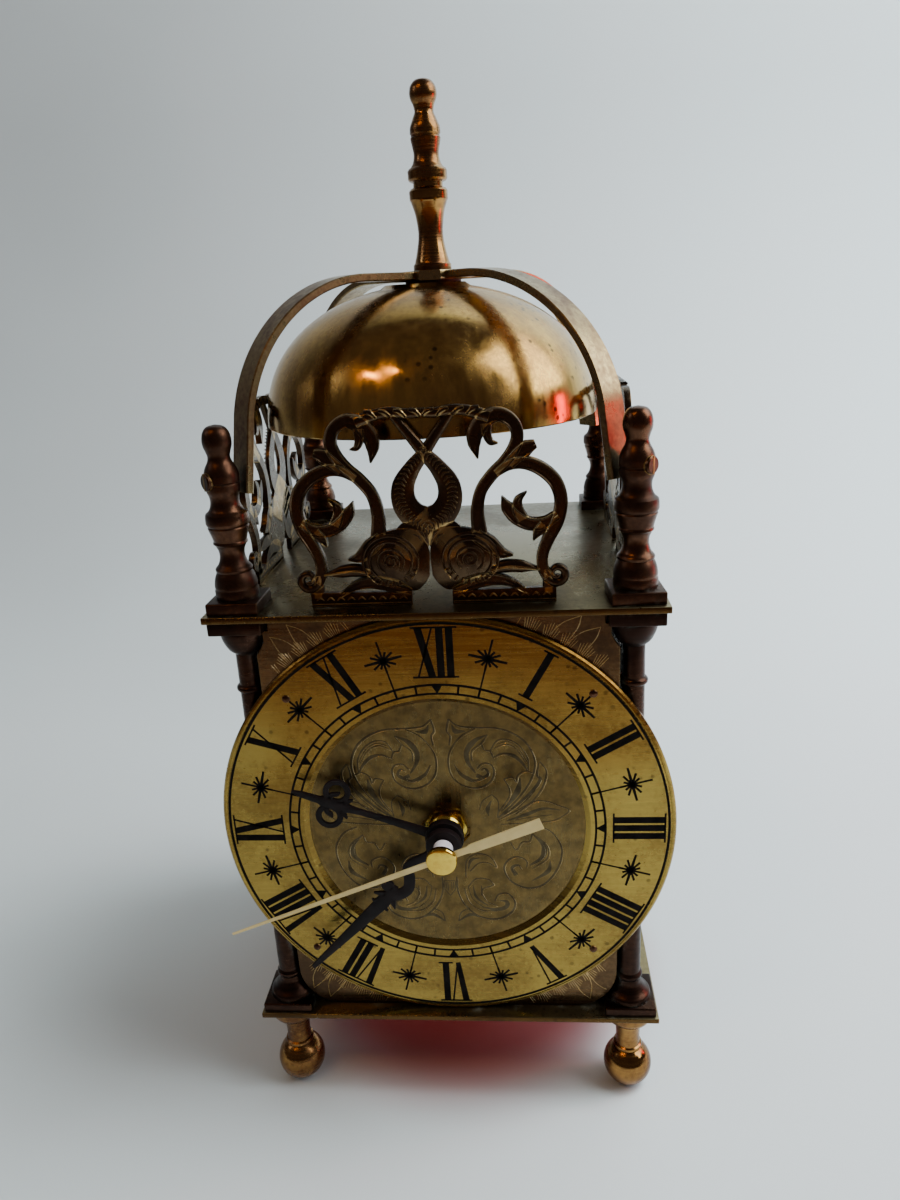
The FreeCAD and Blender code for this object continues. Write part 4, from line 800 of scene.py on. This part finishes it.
def ink_numeral(bm, text, clock):
    """Roman numeral that stands on the minute track with its foot towards the middle."""
    foot, head, bar, hair = 38.2, 49.7, 1.6, 0.42
    total = sum(LETTER_WIDTH[c] for c in text)
    left = -total / 2
    over = 0.7
    ink_stroke(bm, [(-total / 2 - over, head), (total / 2 + over, head)], [hair], clock)
    feet = []
    for letter in text:
        wide = LETTER_WIDTH[letter]
        middle = left + wide / 2
        if letter == "I":
            ink_stroke(bm, [(middle, foot), (middle, head)], [bar], clock)
            feet.append((left, left + wide))
        elif letter == "V":
            ink_stroke(bm, [(left + 0.75, head), (middle + 0.15, foot - 0.1)], [bar, bar * 0.75], clock)
            ink_stroke(bm, [(left + wide - 0.35, head), (middle + 0.3, foot - 0.1)], [hair], clock)
        else:
            ink_stroke(bm, [(left + 0.85, head), (left + wide - 0.85, foot)], [bar], clock)
            ink_stroke(bm, [(left + wide - 0.5, head), (left + 0.5, foot)], [hair], clock)
            feet.append((left, left + wide))
        left += wide
    for i, (a, b) in enumerate(feet):
        out_left = over if i == 0 or feet[i - 1][1] < a - 0.1 else 0.0
        out_right = over if i == len(feet) - 1 or feet[i + 1][0] > b + 0.1 else 0.0
        ink_stroke(bm, [(a - out_left, foot), (b + out_right, foot)], [hair], clock)


STAR_RAYS = [(30, 2.9), (60, 2.2), (120, 2.2), (150, 2.9), (210, 2.9), (240, 2.0), (300, 2.0), (330, 2.9)]
TRACK_IN, TRACK_OUT = 34.3, 36.4


def ink_star(bm, clock):
    """Half-hour star on a thin stem that crosses the minute track."""
    v = 43.7
    ink_stroke(bm, [(0, 34.4), (0, v)], [0.38], clock)
    ink_stroke(bm, [(0, v - 2.8), (0, v + 4.6)], [0.5, 0.75, 0.6, 0.46], clock)
    ink_stroke(bm, [(-4.3, v), (0, v), (4.3, v)], [0.5, 0.75, 0.5], clock)
    for degrees, reach in STAR_RAYS:
        a = math.radians(degrees)
        ink_stroke(bm, [(0, v), (reach * math.cos(a), v + reach * math.sin(a))], [0.5, 0.62, 0.52], clock)


def make_dial_ink():
    bm = bmesh.new()
    for radius, wide in ((50.66, 0.58), (TRACK_OUT, 0.54), (TRACK_IN, 0.5)):
        line = [(radius - wide / 2, RING_FRONT + 0.01), (radius - wide / 2, RING_FRONT - INK_UP),
                (radius + wide / 2, RING_FRONT - INK_UP), (radius + wide / 2, RING_FRONT + 0.01)]
        spun_y(bm, line, 180)
    for i in range(48):
        clock = 7.5 * i
        if i % 4:
            ink_stroke(bm, [(0, TRACK_IN), (0, TRACK_OUT)], [0.5], clock)
        else:
            ink_stroke(bm, [(0, TRACK_OUT - 0.1), (0, TRACK_IN + 0.1)], [2.4, 0.2], clock)
    for hour, text in enumerate(NUMERALS):
        ink_numeral(bm, text, 30 * hour)
        ink_star(bm, 30 * hour + 15)
    finish(bm, "chapter_ring_figures", "case", ["chapter_ring"], INK, 30)


def make_chapter_ring():
    opening, lip, depth = 32.0, 33.1, 0.9
    line = [(opening, RING_BACK), (opening, RING_FRONT + depth), (lip, RING_FRONT), (50.95, RING_FRONT),
            (51.15, RING_FRONT + 0.14), (51.35, RING_FRONT + 0.14), (51.5, RING_FRONT + 0.02),
            (51.9, RING_FRONT + 0.1), (DIAL_R, RING_FRONT + 0.5), (DIAL_R, RING_BACK)]
    bm = bmesh.new()
    spun_y(bm, line, 200)
    finish(bm, "chapter_ring_plate", "case", ["chapter_ring"], DIAL, 20)


def make_rivets():
    """Dark domed rivet heads on the ring."""
    reach = 47.6 * math.sqrt(0.5)
    for i, (sx, sz) in enumerate([(1, 1), (1, -1), (-1, -1), (-1, 1)]):
        bm = bmesh.new()
        line = [(0, RING_FRONT - 0.55), (0.45, RING_FRONT - 0.5), (0.8, RING_FRONT - 0.3),
                (0.95, RING_FRONT), (0, RING_FRONT)]
        spun_y(bm, line, 28, DIAL_Z + sz * reach, sx * reach, False)
        finish(bm, f"dial_rivet_head_{i + 1}", "case", ["dial_rivets"], AGED)


# Engraved scrolls of the dial centre, right half, as (x, z) from the middle of the dial.
# Each is (points, widths): the wide ones are shaded hollows of leaves.
SCROLLS = [
    ([(2.0, 27.6), (4.0, 25.9), (8.0, 25.4), (12.4, 25.2), (16.2, 23.8), (19.3, 21.0), (20.8, 16.8),
      (20.0, 12.6), (17.9, 8.8), (15.1, 5.3), (12.0, 2.2)], [0.3, 0.42, 0.3]),
    ([(2.0, 27.6), (1.4, 24.9), (2.1, 23.5), (1.8, 21.1)], [0.4, 0.3]),
    ([(2.6, 26.2), (3.4, 24.6), (5.6, 24.6)], [0.15, 1.1, 0.2]),
    ([(7.8, 25.2), (4.4, 23.2), (1.8, 19.4), (1.4, 15.5), (2.5, 12.5), (5.0, 10.5), (8.1, 10.2), (10.8, 11.9),
      (11.6, 14.4), (10.9, 16.1), (9.1, 16.4), (7.7, 15.1)], [0.25, 0.4, 0.3]),
    ([(7.6, 13.4), (9.1, 12.8), (10.3, 13.8), (9.6, 15.1), (8.6, 14.6)], [0.9, 0.6, 0.2]),
    ([(10.4, 23.6), (7.6, 22.2), (5.7, 19.6), (5.8, 16.8), (7.4, 14.0)], [0.2, 1.1, 0.9, 0.3]),
    ([(10.4, 23.6), (9.0, 21.6), (6.8, 19.6), (6.7, 17.2)], [0.25]),
    ([(2.7, 16.2), (4.2, 13.6), (7.0, 12.0), (9.2, 12.7)], [0.2, 0.9, 0.3]),
    ([(9.0, 21.4), (9.7, 19.8), (10.9, 19.5), (11.5, 17.9)], [0.28]),
    ([(10.9, 19.5), (12.5, 22.1), (15.1, 22.3), (17.6, 20.6), (19.2, 17.7), (19.3, 14.5)], [0.28]),
    ([(11.5, 17.9), (13.7, 18.8), (16.2, 18.2), (18.1, 16.3), (19.1, 14.5)], [0.2, 0.8, 0.3]),
    ([(11.8, 20.2), (14.2, 21.2), (16.7, 20.0), (18.7, 16.7)], [0.2]),
    ([(12.4, 21.2), (15.0, 21.8), (17.3, 20.0), (19.0, 17.0)], [0.16]),
    ([(21.9, 16.7), (23.3, 14.3), (22.4, 10.3), (19.8, 6.3), (16.2, 3.3)], [0.3]),
    ([(21.7, 16.5), (21.2, 13.3), (21.9, 12.3), (20.5, 9.8), (16.3, 5.4), (12.3, 2.3)], [0.25, 0.7, 0.3]),
    ([(22.3, 12.4), (20.0, 8.4), (16.6, 4.6)], [0.2]),
    ([(13.7, 12.4), (15.6, 12.8), (16.5, 11.6), (16.9, 13.3), (18.7, 14.4), (20.4, 13.7)], [0.28]),
    ([(13.7, 12.4), (14.9, 9.9), (14.6, 7.4), (12.3, 3.9)], [0.28]),
    ([(17.4, 12.6), (16.8, 9.4), (15.0, 6.4), (12.9, 4.0)], [0.3, 1.2, 0.7, 0.2]),
    ([(10.9, 8.4), (8.7, 6.7), (7.9, 4.4)], [0.26]),
    ([(10.9, 8.4), (12.3, 6.4), (12.0, 2.3)], [0.26]),
    ([(10.7, 6.8), (9.8, 4.6), (10.0, 2.8)], [0.2, 0.9, 0.2]),
    ([(12.2, 1.8), (16.7, 4.3), (20.7, 6.6), (23.7, 6.4), (25.4, 5.6), (28.2, 4.3), (26.7, 2.5), (24.0, 1.3),
      (18.4, 0.8), (12.6, 0.5)], [0.26]),
    ([(14.0, 1.4), (18.4, 3.0), (22.4, 4.6), (26.4, 4.2)], [0.2, 0.8, 0.6, 0.2]),
    ([(16.0, 1.6), (20.0, 2.4), (24.4, 3.0)], [0.2]),
    ([(21.0, 0.0), (24.4, -1.8), (26.5, -6.0), (25.6, -11.2), (22.4, -15.8), (18.4, -17.0), (14.8, -15.3),
      (13.0, -11.8), (13.9, -9.4), (16.1, -8.3), (18.3, -9.4), (18.3, -11.2)], [0.3, 0.42, 0.28]),
    ([(15.8, -13.4), (14.9, -11.4), (16.3, -10.6), (17.0, -11.6)], [0.9, 0.6, 0.2]),
    ([(19.8, -2.1), (22.3, -5.2), (22.0, -8.4), (19.0, -10.7)], [0.2, 1.2, 0.3]),
    ([(19.8, -2.1), (23.0, -5.0), (23.2, -8.6), (19.6, -11.6)], [0.22]),
    ([(23.8, -9.4), (23.2, -12.4), (19.5, -15.0)], [0.2, 1.0, 0.2]),
    ([(14.7, -4.4), (16.0, -6.4), (17.3, -4.4), (19.1, -4.1), (19.8, -2.1)], [0.26]),
    ([(1.7, -13.9), (1.9, -18.3), (3.6, -22.2), (6.7, -25.2), (10.8, -25.9), (14.3, -24.0), (15.3, -21.0),
      (13.8, -18.7), (11.5, -18.8), (10.5, -20.7)], [0.3, 0.42, 0.28]),
    ([(11.6, -20.6), (13.3, -20.9), (13.2, -22.4), (10.9, -23.2), (8.0, -22.6)], [0.2, 0.9, 0.9, 0.3]),
    ([(3.4, -17.2), (4.3, -20.8), (7.0, -23.3), (10.9, -23.6)], [0.22]),
    ([(4.3, -16.7), (5.3, -20.2), (7.9, -22.7)], [0.2]),
    ([(5.5, -16.4), (6.2, -19.7), (8.9, -22.1)], [0.2, 0.6, 0.2]),
    ([(7.5, -16.4), (7.6, -18.8), (8.9, -21.0), (10.9, -22.1)], [0.22]),
    ([(4.3, -16.7), (6.2, -14.5), (8.9, -14.5), (10.3, -16.1), (7.9, -17.2), (7.4, -19.1)], [0.26]),
    ([(3.9, -13.9), (4.2, -9.6), (5.8, -7.8), (7.9, -7.5), (10.1, -8.6), (11.2, -11.2), (9.1, -9.9),
      (6.9, -10.2), (5.0, -12.3)], [0.26]),
    ([(4.6, -11.6), (5.4, -9.2), (7.4, -8.6)], [0.2, 0.7, 0.2]),
    ([(1.6, -26.6), (2.3, -24.1), (4.5, -22.8)], [0.26]),
    ([(1.6, -26.6), (4.4, -24.7), (6.9, -25.4)], [0.2, 0.8, 0.2]),
]
SHIELD = [[(0, -15.0), (1.3, -15.0)], [(1.3, -15.0), (1.3, -17.2), (0.0, -19.2)],
          [(0.45, -15.4), (0.45, -17.8)], [(0.9, -15.4), (0.9, -17.2)]]


def make_scrolls(face):
    """Cut lines of the scrolls, and a painted highlight next to the long ones, where light would catch the
    cut.
    """
    dark, bright = bmesh.new(), bmesh.new()
    cuts = SCROLLS + [(line, [0.22]) for line in SHIELD]
    for side in (1, -1):
        for points, widths in cuts:
            line = [(side * p[0], DIAL_Z + p[1]) for p in smooth(points, 5)]
            strip(dark, line, [1.7 * w for w in widths], RIDGE, face + 0.02, face - 0.05)
            if len(points) > 3 and len(widths) < 4:
                # Painted highlight: a pale line set just to one side of each long cut.
                beside = [(x + 0.3, z - 0.28) for x, z in line]
                strip(bright, beside, [0.06, 0.17, 0.06], RIDGE, face + 0.02, face - 0.04)
    finish(dark, "dial_centre_cut_lines", "case", ["dial_centre"], CUT_LINE, 60)
    finish(bright, "dial_centre_painted_highlight_lines", "case", ["dial_centre"], PALE_CUT_AND_HIGHLIGHT, 60)


def make_dial_centre():
    low, high = low_high("dial_centre")
    radius, hole = (high.x - low.x) / 2, 4.0
    bm = bmesh.new()
    spun_y(bm, [(hole, high.y), (hole, low.y), (radius, low.y), (radius, high.y)], 160)
    finish(bm, "dial_centre_disc", "case", ["dial_centre"], CENTRE, 20)
    make_scrolls(low.y)


def make_corner_leaves():
    """Row of pointed leaves with hatched feet, cut in the front plate round the dial."""
    face = low_high("front_plate")[0].y
    bm = bmesh.new()

    def cut(points, widths):
        line = [on_dial(u, v, clock) for u, v in smooth(points, 5)]
        if all(on_front_plate(x, z) for x, z in line):
            strip(bm, line, widths, RIDGE, face + 0.02, face - 0.05)

    step = 4.6
    for i in range(int(360 / step)):
        clock = (i + 0.5) * step
        lean = 1.5 * math.copysign(1.0, math.sin(math.radians(clock)))
        cut([(-2.2, DIAL_R + 0.1), (-1.5 + 0.3 * lean, DIAL_R + 4.2), (0.2 + lean, DIAL_R + 7.6)],
            [0.16, 0.2, 0.12])
        cut([(0.2 + lean, DIAL_R + 7.6), (1.6 + 0.5 * lean, DIAL_R + 4.6), (1.9, DIAL_R + 0.1)],
            [0.12, 0.2, 0.16])
        for j in range(7):
            u = 0.5 * (j - 3)
            tall = 3.5 - 0.4 * abs(j - 3)
            cut([(2.05 + u * 0.8, DIAL_R + 0.1), (2.05 + u * 1.2, DIAL_R + tall)], [0.17, 0.1])
    finish(bm, "front_plate_leaf_cuts", "case", ["front_plate"], PALE_CUT_AND_HIGHLIGHT, 60)


def on_front_plate(x, z):
    """True inside the front plate's outline, with a small margin."""
    x, low, margin, r = abs(x), low_high("base_plate")[1].z, 0.5, 10.5
    if x > 37.0 or z > 129.6 or z < low + margin or (z > 120.6 and x > 36.8):
        return False
    return not (x > 39.4 - r and z < low + r and math.hypot(x - 39.4 + r, z - low - r) > r - margin)


def make_front_plate():
    """Plain panel between the front columns, on the outline of its CAD node."""
    low, high = low_high("front_plate")
    bottom, top = low_high("base_plate")[1].z, low_high("top_plate")[0].z
    half, r = high.x, 10.5
    points = arc((half - r, bottom + r), r, r, [-90 + 7.5 * i for i in range(13)])
    points += [(half, 121.4), (38.6, 122.6), (37.6, 124.4), (37.6, 127.0), (36.3, 127.0), (36.3, top)]
    points += mirrored(reversed(points))
    bm = bmesh.new()
    filled(bm, points, high.y, low.y + 0.12)
    finish(bm, "front_plate_sheet", "case", ["front_plate"], PANEL, 30)


# ================================================================ hands
def hand_strip(bm, stations, clock, y_front, thick=0.5, per=5, section=BLADE):
    """Flat part of a hand along (along, across, width) stations."""
    line = smooth([(s, c) for s, c, w in stations], per)
    widths = [p[0] for p in smooth([(w, 0) for s, c, w in stations], per)]
    placed = [on_dial(p[1], p[0], clock) for p in line]
    strip(bm, placed, widths, section, y_front + thick, y_front)


def hand_boss(bm, y_low, y_high, outer, inner):
    soft = 0.2
    line = [(inner, y_high), (inner, y_low), (outer - soft, y_low), (outer, y_low + soft), (outer, y_high)]
    spun_y(bm, line, 56)


def make_hour_hand():
    low, high = low_high("hour_hand")
    clock, y = 290.0, low.y + 0.5
    bm = bmesh.new()
    hand_boss(bm, low.y, high.y, 4.4, 2.5)
    hand_strip(bm, [(2.9, 0, 2.7), (6, 0.1, 2.2), (12, 0.2, 1.8), (18, 0.1, 1.5), (22.2, 0, 1.9),
                    (24.2, 0, 3.4), (26.6, 0, 3.0), (28.4, 0, 3.2), (29.8, 0, 1.9), (31.2, 0, 1.8),
                    (34, 0, 1.5), (36.2, 0, 0.6)], clock, y)
    for side in (-1, 1):
        loop = [(u, side * v, 1.35) for u, v in arc((26.4, 3.3), 2.5, 2.5, range(-70, 251, 20))]
        hand_strip(bm, loop, clock, y, per=2)
        curl = [(27.6, side * 1.0, 1.3), (27.3, side * 2.2, 1.2), (26.3, side * 2.7, 1.1),
                (25.7, side * 3.4, 0.5)]
        hand_strip(bm, curl, clock, y)
        spike = [(24.4, side * 1.2, 1.6), (23.2, side * 1.9, 1.1), (22.4, side * 2.6, 0.3)]
        hand_strip(bm, spike, clock, y)
    finish(bm, "hour_hand_blade", "hour_hand_set", ["hour_hand"], HAND_BLACK)


def make_minute_hand():
    low, high = low_high("minute_hand")
    clock, y = 224.3, low.y + 0.5
    bm = bmesh.new()
    hand_boss(bm, low.y, high.y, 4.0, 1.65)
    hand_strip(bm, [(2.9, 0.2, 2.8), (5.5, 0.9, 2.4), (8.4, 2.0, 2.3), (10.4, 1.7, 2.5), (12.3, -0.4, 2.6),
                    (14.4, -1.8, 2.6), (16.6, -1.6, 2.8), (18.6, -0.2, 3.4), (20.6, 0.1, 3.4),
                    (23.0, 0, 3.3)], clock, y, per=6)
    hand_strip(bm, [(21.0, 0, 3.4), (24, 0, 3.2), (32, 0, 2.5), (40, 0, 1.8), (46.8, 0, 1.25),
                    (47.6, 0, 0.7)], clock, y)
    hand_strip(bm, [(17.0, -0.2, 2.4), (17.2, 1.2, 2.3)], clock, y)
    kx, kz = on_dial(2.1, 17.1, clock)
    spun_y(bm, [(0, y), (1.35, y), (1.5, y + 0.15), (1.5, y + 0.5), (0, y + 0.5)], 28, kz, kx, False)
    for side in (-1, 1):
        hand_strip(bm, [(19.2, side * 0.8, 1.8), (20.0, side * 2.0, 1.2), (20.8, side * 3.2, 0.3)], clock, y)
        hand_strip(bm, [(21.6, side * 1.0, 1.2), (22.4, side * 1.7, 0.8), (22.4, side * 2.4, 0.3)], clock, y)
    finish(bm, "minute_hand_blade", "minute_hand_set", ["minute_hand"], HAND_BLACK)


def make_second_hand():
    low, high = low_high("second_hand")
    clock = 247.7
    bm = bmesh.new()
    hand_strip(bm, [(-23.6, 0, 2.7), (-15, 0, 2.5), (-7.5, 0, 2.2), (-6.2, 0, 1.6), (-3, 0, 1.5), (5, 0, 1.3),
                    (30, 0, 0.9), (53.6, 0, 0.5)], clock, low.y, 0.3, 4, FLAT)
    finish(bm, "second_hand_blade", "second_hand_set", ["second_hand"], HAND_GOLD)
    bm = bmesh.new()
    hand_boss(bm, low.y + 0.3, high.y, 2.2, 0.6)
    finish(bm, "second_hand_tube", "second_hand_set", ["second_hand"], WHITE)
    cap_low, cap_high = low_high("second_hand_cap")
    bm = bmesh.new()
    spun_y(bm, [(0, cap_low.y), (2.9, cap_low.y), (3.25, cap_low.y + 0.12), (3.4, cap_low.y + 0.4),
                (3.4, cap_high.y), (0, cap_high.y)], 64, closed=False)
    finish(bm, "second_hand_cap_cup", "second_hand_set", ["second_hand_cap"], GILT, 25)


def make_nut():
    low, high = low_high("hex_nut")
    across, bore = 10.0, 4.0
    reach = across / math.sqrt(3)
    bm = bmesh.new()
    turned = -10
    corners = arc((0, DIAL_Z), reach, reach, range(turned, 360 + turned, 60))
    outer = [bm.verts.new((x, high.y, z)) for x, z in corners]
    face = bm.faces.new(outer)
    inner = bmesh.ops.inset_region(bm, faces=[face], thickness=across / 2 - bore - 0.2, use_boundary=True)
    bmesh.ops.delete(bm, geom=[face], context="FACES_ONLY")
    made = bmesh.ops.extrude_face_region(bm, geom=inner["faces"])
    bmesh.ops.translate(bm, vec=(0, low.y - high.y, 0), verts=parts(made, BMVert))
    bmesh.ops.bevel(bm, geom=bm.edges[:], offset=0.25, offset_type="OFFSET", segments=2, profile=0.5,
                    affect="EDGES", material=-1, clamp_overlap=True)
    finish(bm, "hex_nut_body", "case", ["hex_nut"], GILT)
    bm = bmesh.new()
    tip = low_high("movement_front_case")[0].y
    spun_y(bm, [(2.56, high.y), (2.56, tip)] + [(4.0 - 0.18 * (i % 2), tip + 0.3 * i) for i in range(11)], 64,
           closed=False)
    finish(bm, "threaded_bush_end", "case", ["movement_front_case"], GILT)


# ================================================================ kept CAD nodes
def dress_nodes():
    looks = {
        "left_side_panel": PANEL, "right_side_panel": PANEL, "rear_door": PANEL, "door_knob": TURNED,
        "dial_washer": GILT, "bell_spacer": FIBRE, "bell_nut": STEEL, "battery": SLEEVE,
        "battery_contacts": STEEL, "coil": COPPER, "stator": IRON, "circuit_board": BOARD,
        "movement_front_case": CASE_BLACK, "movement_rear_case": CASE_BLACK, "middle_plate": CASE_BLACK,
        "setting_knob": CASE_BLACK, "rotor": WHITE, "fifth_wheel": WHITE, "seconds_wheel": WHITE,
        "third_wheel": WHITE, "centre_wheel": WHITE, "minute_arbor": WHITE, "motion_wheel": WHITE,
        "hour_wheel": WHITE,
    }
    for name, material in looks.items():
        mesh = NODES[name].data
        mesh.materials.clear()
        mesh.materials.append(material)


# ================================================================ stage
def make_stage():
    """Pale sheet that sweeps up into a backdrop. It ends just before the camera, so that polished
    metal mirrors a dark room above it."""
    bm = bmesh.new()
    bend = 0.35
    points = [(-0.30, 0.0), (0.0, 0.0), (0.25, 0.0)]
    points += [(0.25 + bend * math.sin(a), bend - bend * math.cos(a))
               for a in (math.radians(7.5 * i) for i in range(1, 13))]
    points.append((0.25 + bend, 1.8))
    verts = [bm.verts.new((-3.5, y, z)) for y, z in points]
    edges = [bm.edges.new(pair) for pair in zip(verts, verts[1:])]
    made = bmesh.ops.extrude_edge_only(bm, edges=edges)
    bmesh.ops.translate(bm, vec=(7.0, 0, 0), verts=parts(made, BMVert))
    mesh = bpy.data.meshes.new("floor")
    bm.to_mesh(mesh)
    bm.free()
    mesh.shade_smooth()
    material, t, shader = new_material("floor_paper")
    where = t.here()
    soft = t.ramp(t.noise(where, 3.0, 2.0), 0.3, 0.7)
    # Painted light: the sheet darkens towards the left and pales towards the right, as if lit from the right.
    across = t.ramp(t.node("ShaderNodeSeparateXYZ", Vector=where).outputs["X"], -0.35, 0.45)
    colour = t.blend(across, (0.50, 0.535, 0.54, 1), (0.80, 0.88, 0.90, 1))
    colour = t.blend(t.math("MULTIPLY", soft, 0.12), colour, (0.85, 0.89, 0.90, 1))
    # Painted shadow: under the clock the sheet darkens to a deep red-brown, a shadow tinted by red light.
    away = t.node("ShaderNodeVectorMath", {"operation": "LENGTH"}, Vector=where).outputs["Value"]
    painted_shadow_under_clock = t.ramp(away, 0.034, 0.062, 1.0, 0.0)
    t.put(shader.inputs["Base Color"], t.blend(painted_shadow_under_clock, colour, (0.50, 0.16, 0.17, 1), "MULTIPLY"))
    shader.inputs["Roughness"].default_value = 0.75
    mesh.materials.append(material)
    floor = bpy.data.objects.new("floor", mesh)
    bpy.context.scene.collection.objects.link(floor)
    table_mesh = bpy.data.meshes.new("table")
    bm = bmesh.new()
    bmesh.ops.create_grid(bm, x_segments=1, y_segments=1, size=0.7)
    bmesh.ops.translate(bm, vec=(0, -0.95, -0.004), verts=bm.verts)
    bm.to_mesh(table_mesh)
    bm.free()
    table_mesh.materials.append(coating("table_wood", (0.30, 0.12, 0.035), (0.18, 0.065, 0.02), (0.4, 0.6),
                                        12.0))
    table = bpy.data.objects.new("table", table_mesh)
    bpy.context.scene.collection.objects.link(table)


def area_light(name, place_at, target, size, power, colour, stretch=1.0, mirrored_in_metal=True):
    data = bpy.data.lights.new(name, "AREA")
    data.shape = "RECTANGLE"
    data.size, data.size_y = size, size * stretch
    data.energy = power
    data.color = colour
    light = bpy.data.objects.new(name, data)
    light.location = place_at
    light.rotation_euler = (Vector(target) - Vector(place_at)).to_track_quat("-Z", "Y").to_euler()
    light.visible_glossy = mirrored_in_metal
    light.visible_camera = False
    bpy.context.scene.collection.objects.link(light)


def make_lights():
    """One large soft source from the upper right behind, and small sources for the metal to mirror."""
    middle = (0, 0, 0.12)
    area_light("window", (0.84, 0.0, 0.78), (0, 0.1, 0.1), 0.80, 13, (0.92, 0.98, 1.0), 1.0)
    area_light("wall_wash", (0.65, 0.05, 1.38), (0.12, 0.6, 0.55), 0.5, 20, (0.87, 0.97, 1.0), 1.0, False)
    area_light("ceiling", (-0.1, -0.3, 1.5), (0, 0.1, 0), 1.0, 1.3, (0.90, 0.96, 1.0), 1.0, False)
    area_light("left_window", (-0.70, -0.14, 0.56), middle, 0.14, 0.45, (0.92, 0.96, 1.0), 1.8)
    area_light("lamp", (-0.35, -0.35, 0.66), middle, 0.11, 0.35, (1.0, 0.50, 0.12), 0.28)
    area_light("second_lamp", (-0.22, -0.38, 0.72), middle, 0.08, 0.2, (1.0, 0.52, 0.14), 0.3)
    area_light("red_cloth", (0.45, 0.06, 0.16), (0, 0, 0.14), 0.05, 0.35, (1.0, 0.02, 0.012), 3.0)
    area_light("red_underglow", (0.0, 0.0, 0.014), (0.0, 0.0, 0.0), 0.06, 0.003, (1.0, 0.02, 0.03), 1.0,
               False)
    world = bpy.data.worlds.new("room")
    world.use_nodes = True
    sky = world.node_tree.nodes["Background"]
    sky.inputs[0].default_value = (0.082, 0.066, 0.068, 1)
    sky.inputs[1].default_value = 1.0
    bpy.context.scene.world = world


def make_camera():
    """Camera a little above the bell, to the right of the middle and turned slightly left."""
    yaw, pitch, roll = (math.radians(d) for d in (-5.24, 18.99, -3.24))
    ahead = Vector((math.sin(yaw) * math.cos(pitch), math.cos(yaw) * math.cos(pitch), -math.sin(pitch)))
    level = Vector((math.cos(yaw), -math.sin(yaw), 0))
    upright = level.cross(ahead)
    right = math.cos(roll) * level + math.sin(roll) * upright
    up = -math.sin(roll) * level + math.cos(roll) * upright
    data = bpy.data.cameras.new("camera")
    data.sensor_width = 36.0
    data.lens = 25.98
    data.clip_start = 0.01
    camera = bpy.data.objects.new("camera", data)
    turn = Matrix((right, up, -ahead)).transposed().to_4x4()
    camera.matrix_world = Matrix.Translation((0.01959, -0.21733, 0.1925)) @ turn
    bpy.context.scene.collection.objects.link(camera)
    bpy.context.scene.camera = camera


# ================================================================ build
def main():
    make_plate("base_plate", low_high("base_plate")[0].z, low_high("base_plate")[1].z)
    make_plate("top_plate", low_high("top_plate")[0].z, PLATE_TOP)
    for corner, (sx, sy) in CORNERS.items():
        make_column(corner, sx, sy)
        make_foot(corner, sx, sy)
        make_corner_finial(corner, sx, sy)
        make_strap(corner, sx, sy)
    make_plinths()
    make_strap_screws()
    make_top_finial()
    make_bell()
    make_hub()
    make_frets()
    make_front_plate()
    make_corner_leaves()
    make_chapter_ring()
    make_dial_ink()
    make_rivets()
    make_dial_centre()
    make_hour_hand()
    make_minute_hand()
    make_second_hand()
    make_nut()
    dress_nodes()
    make_stage()
    make_lights()
    make_camera()


main()
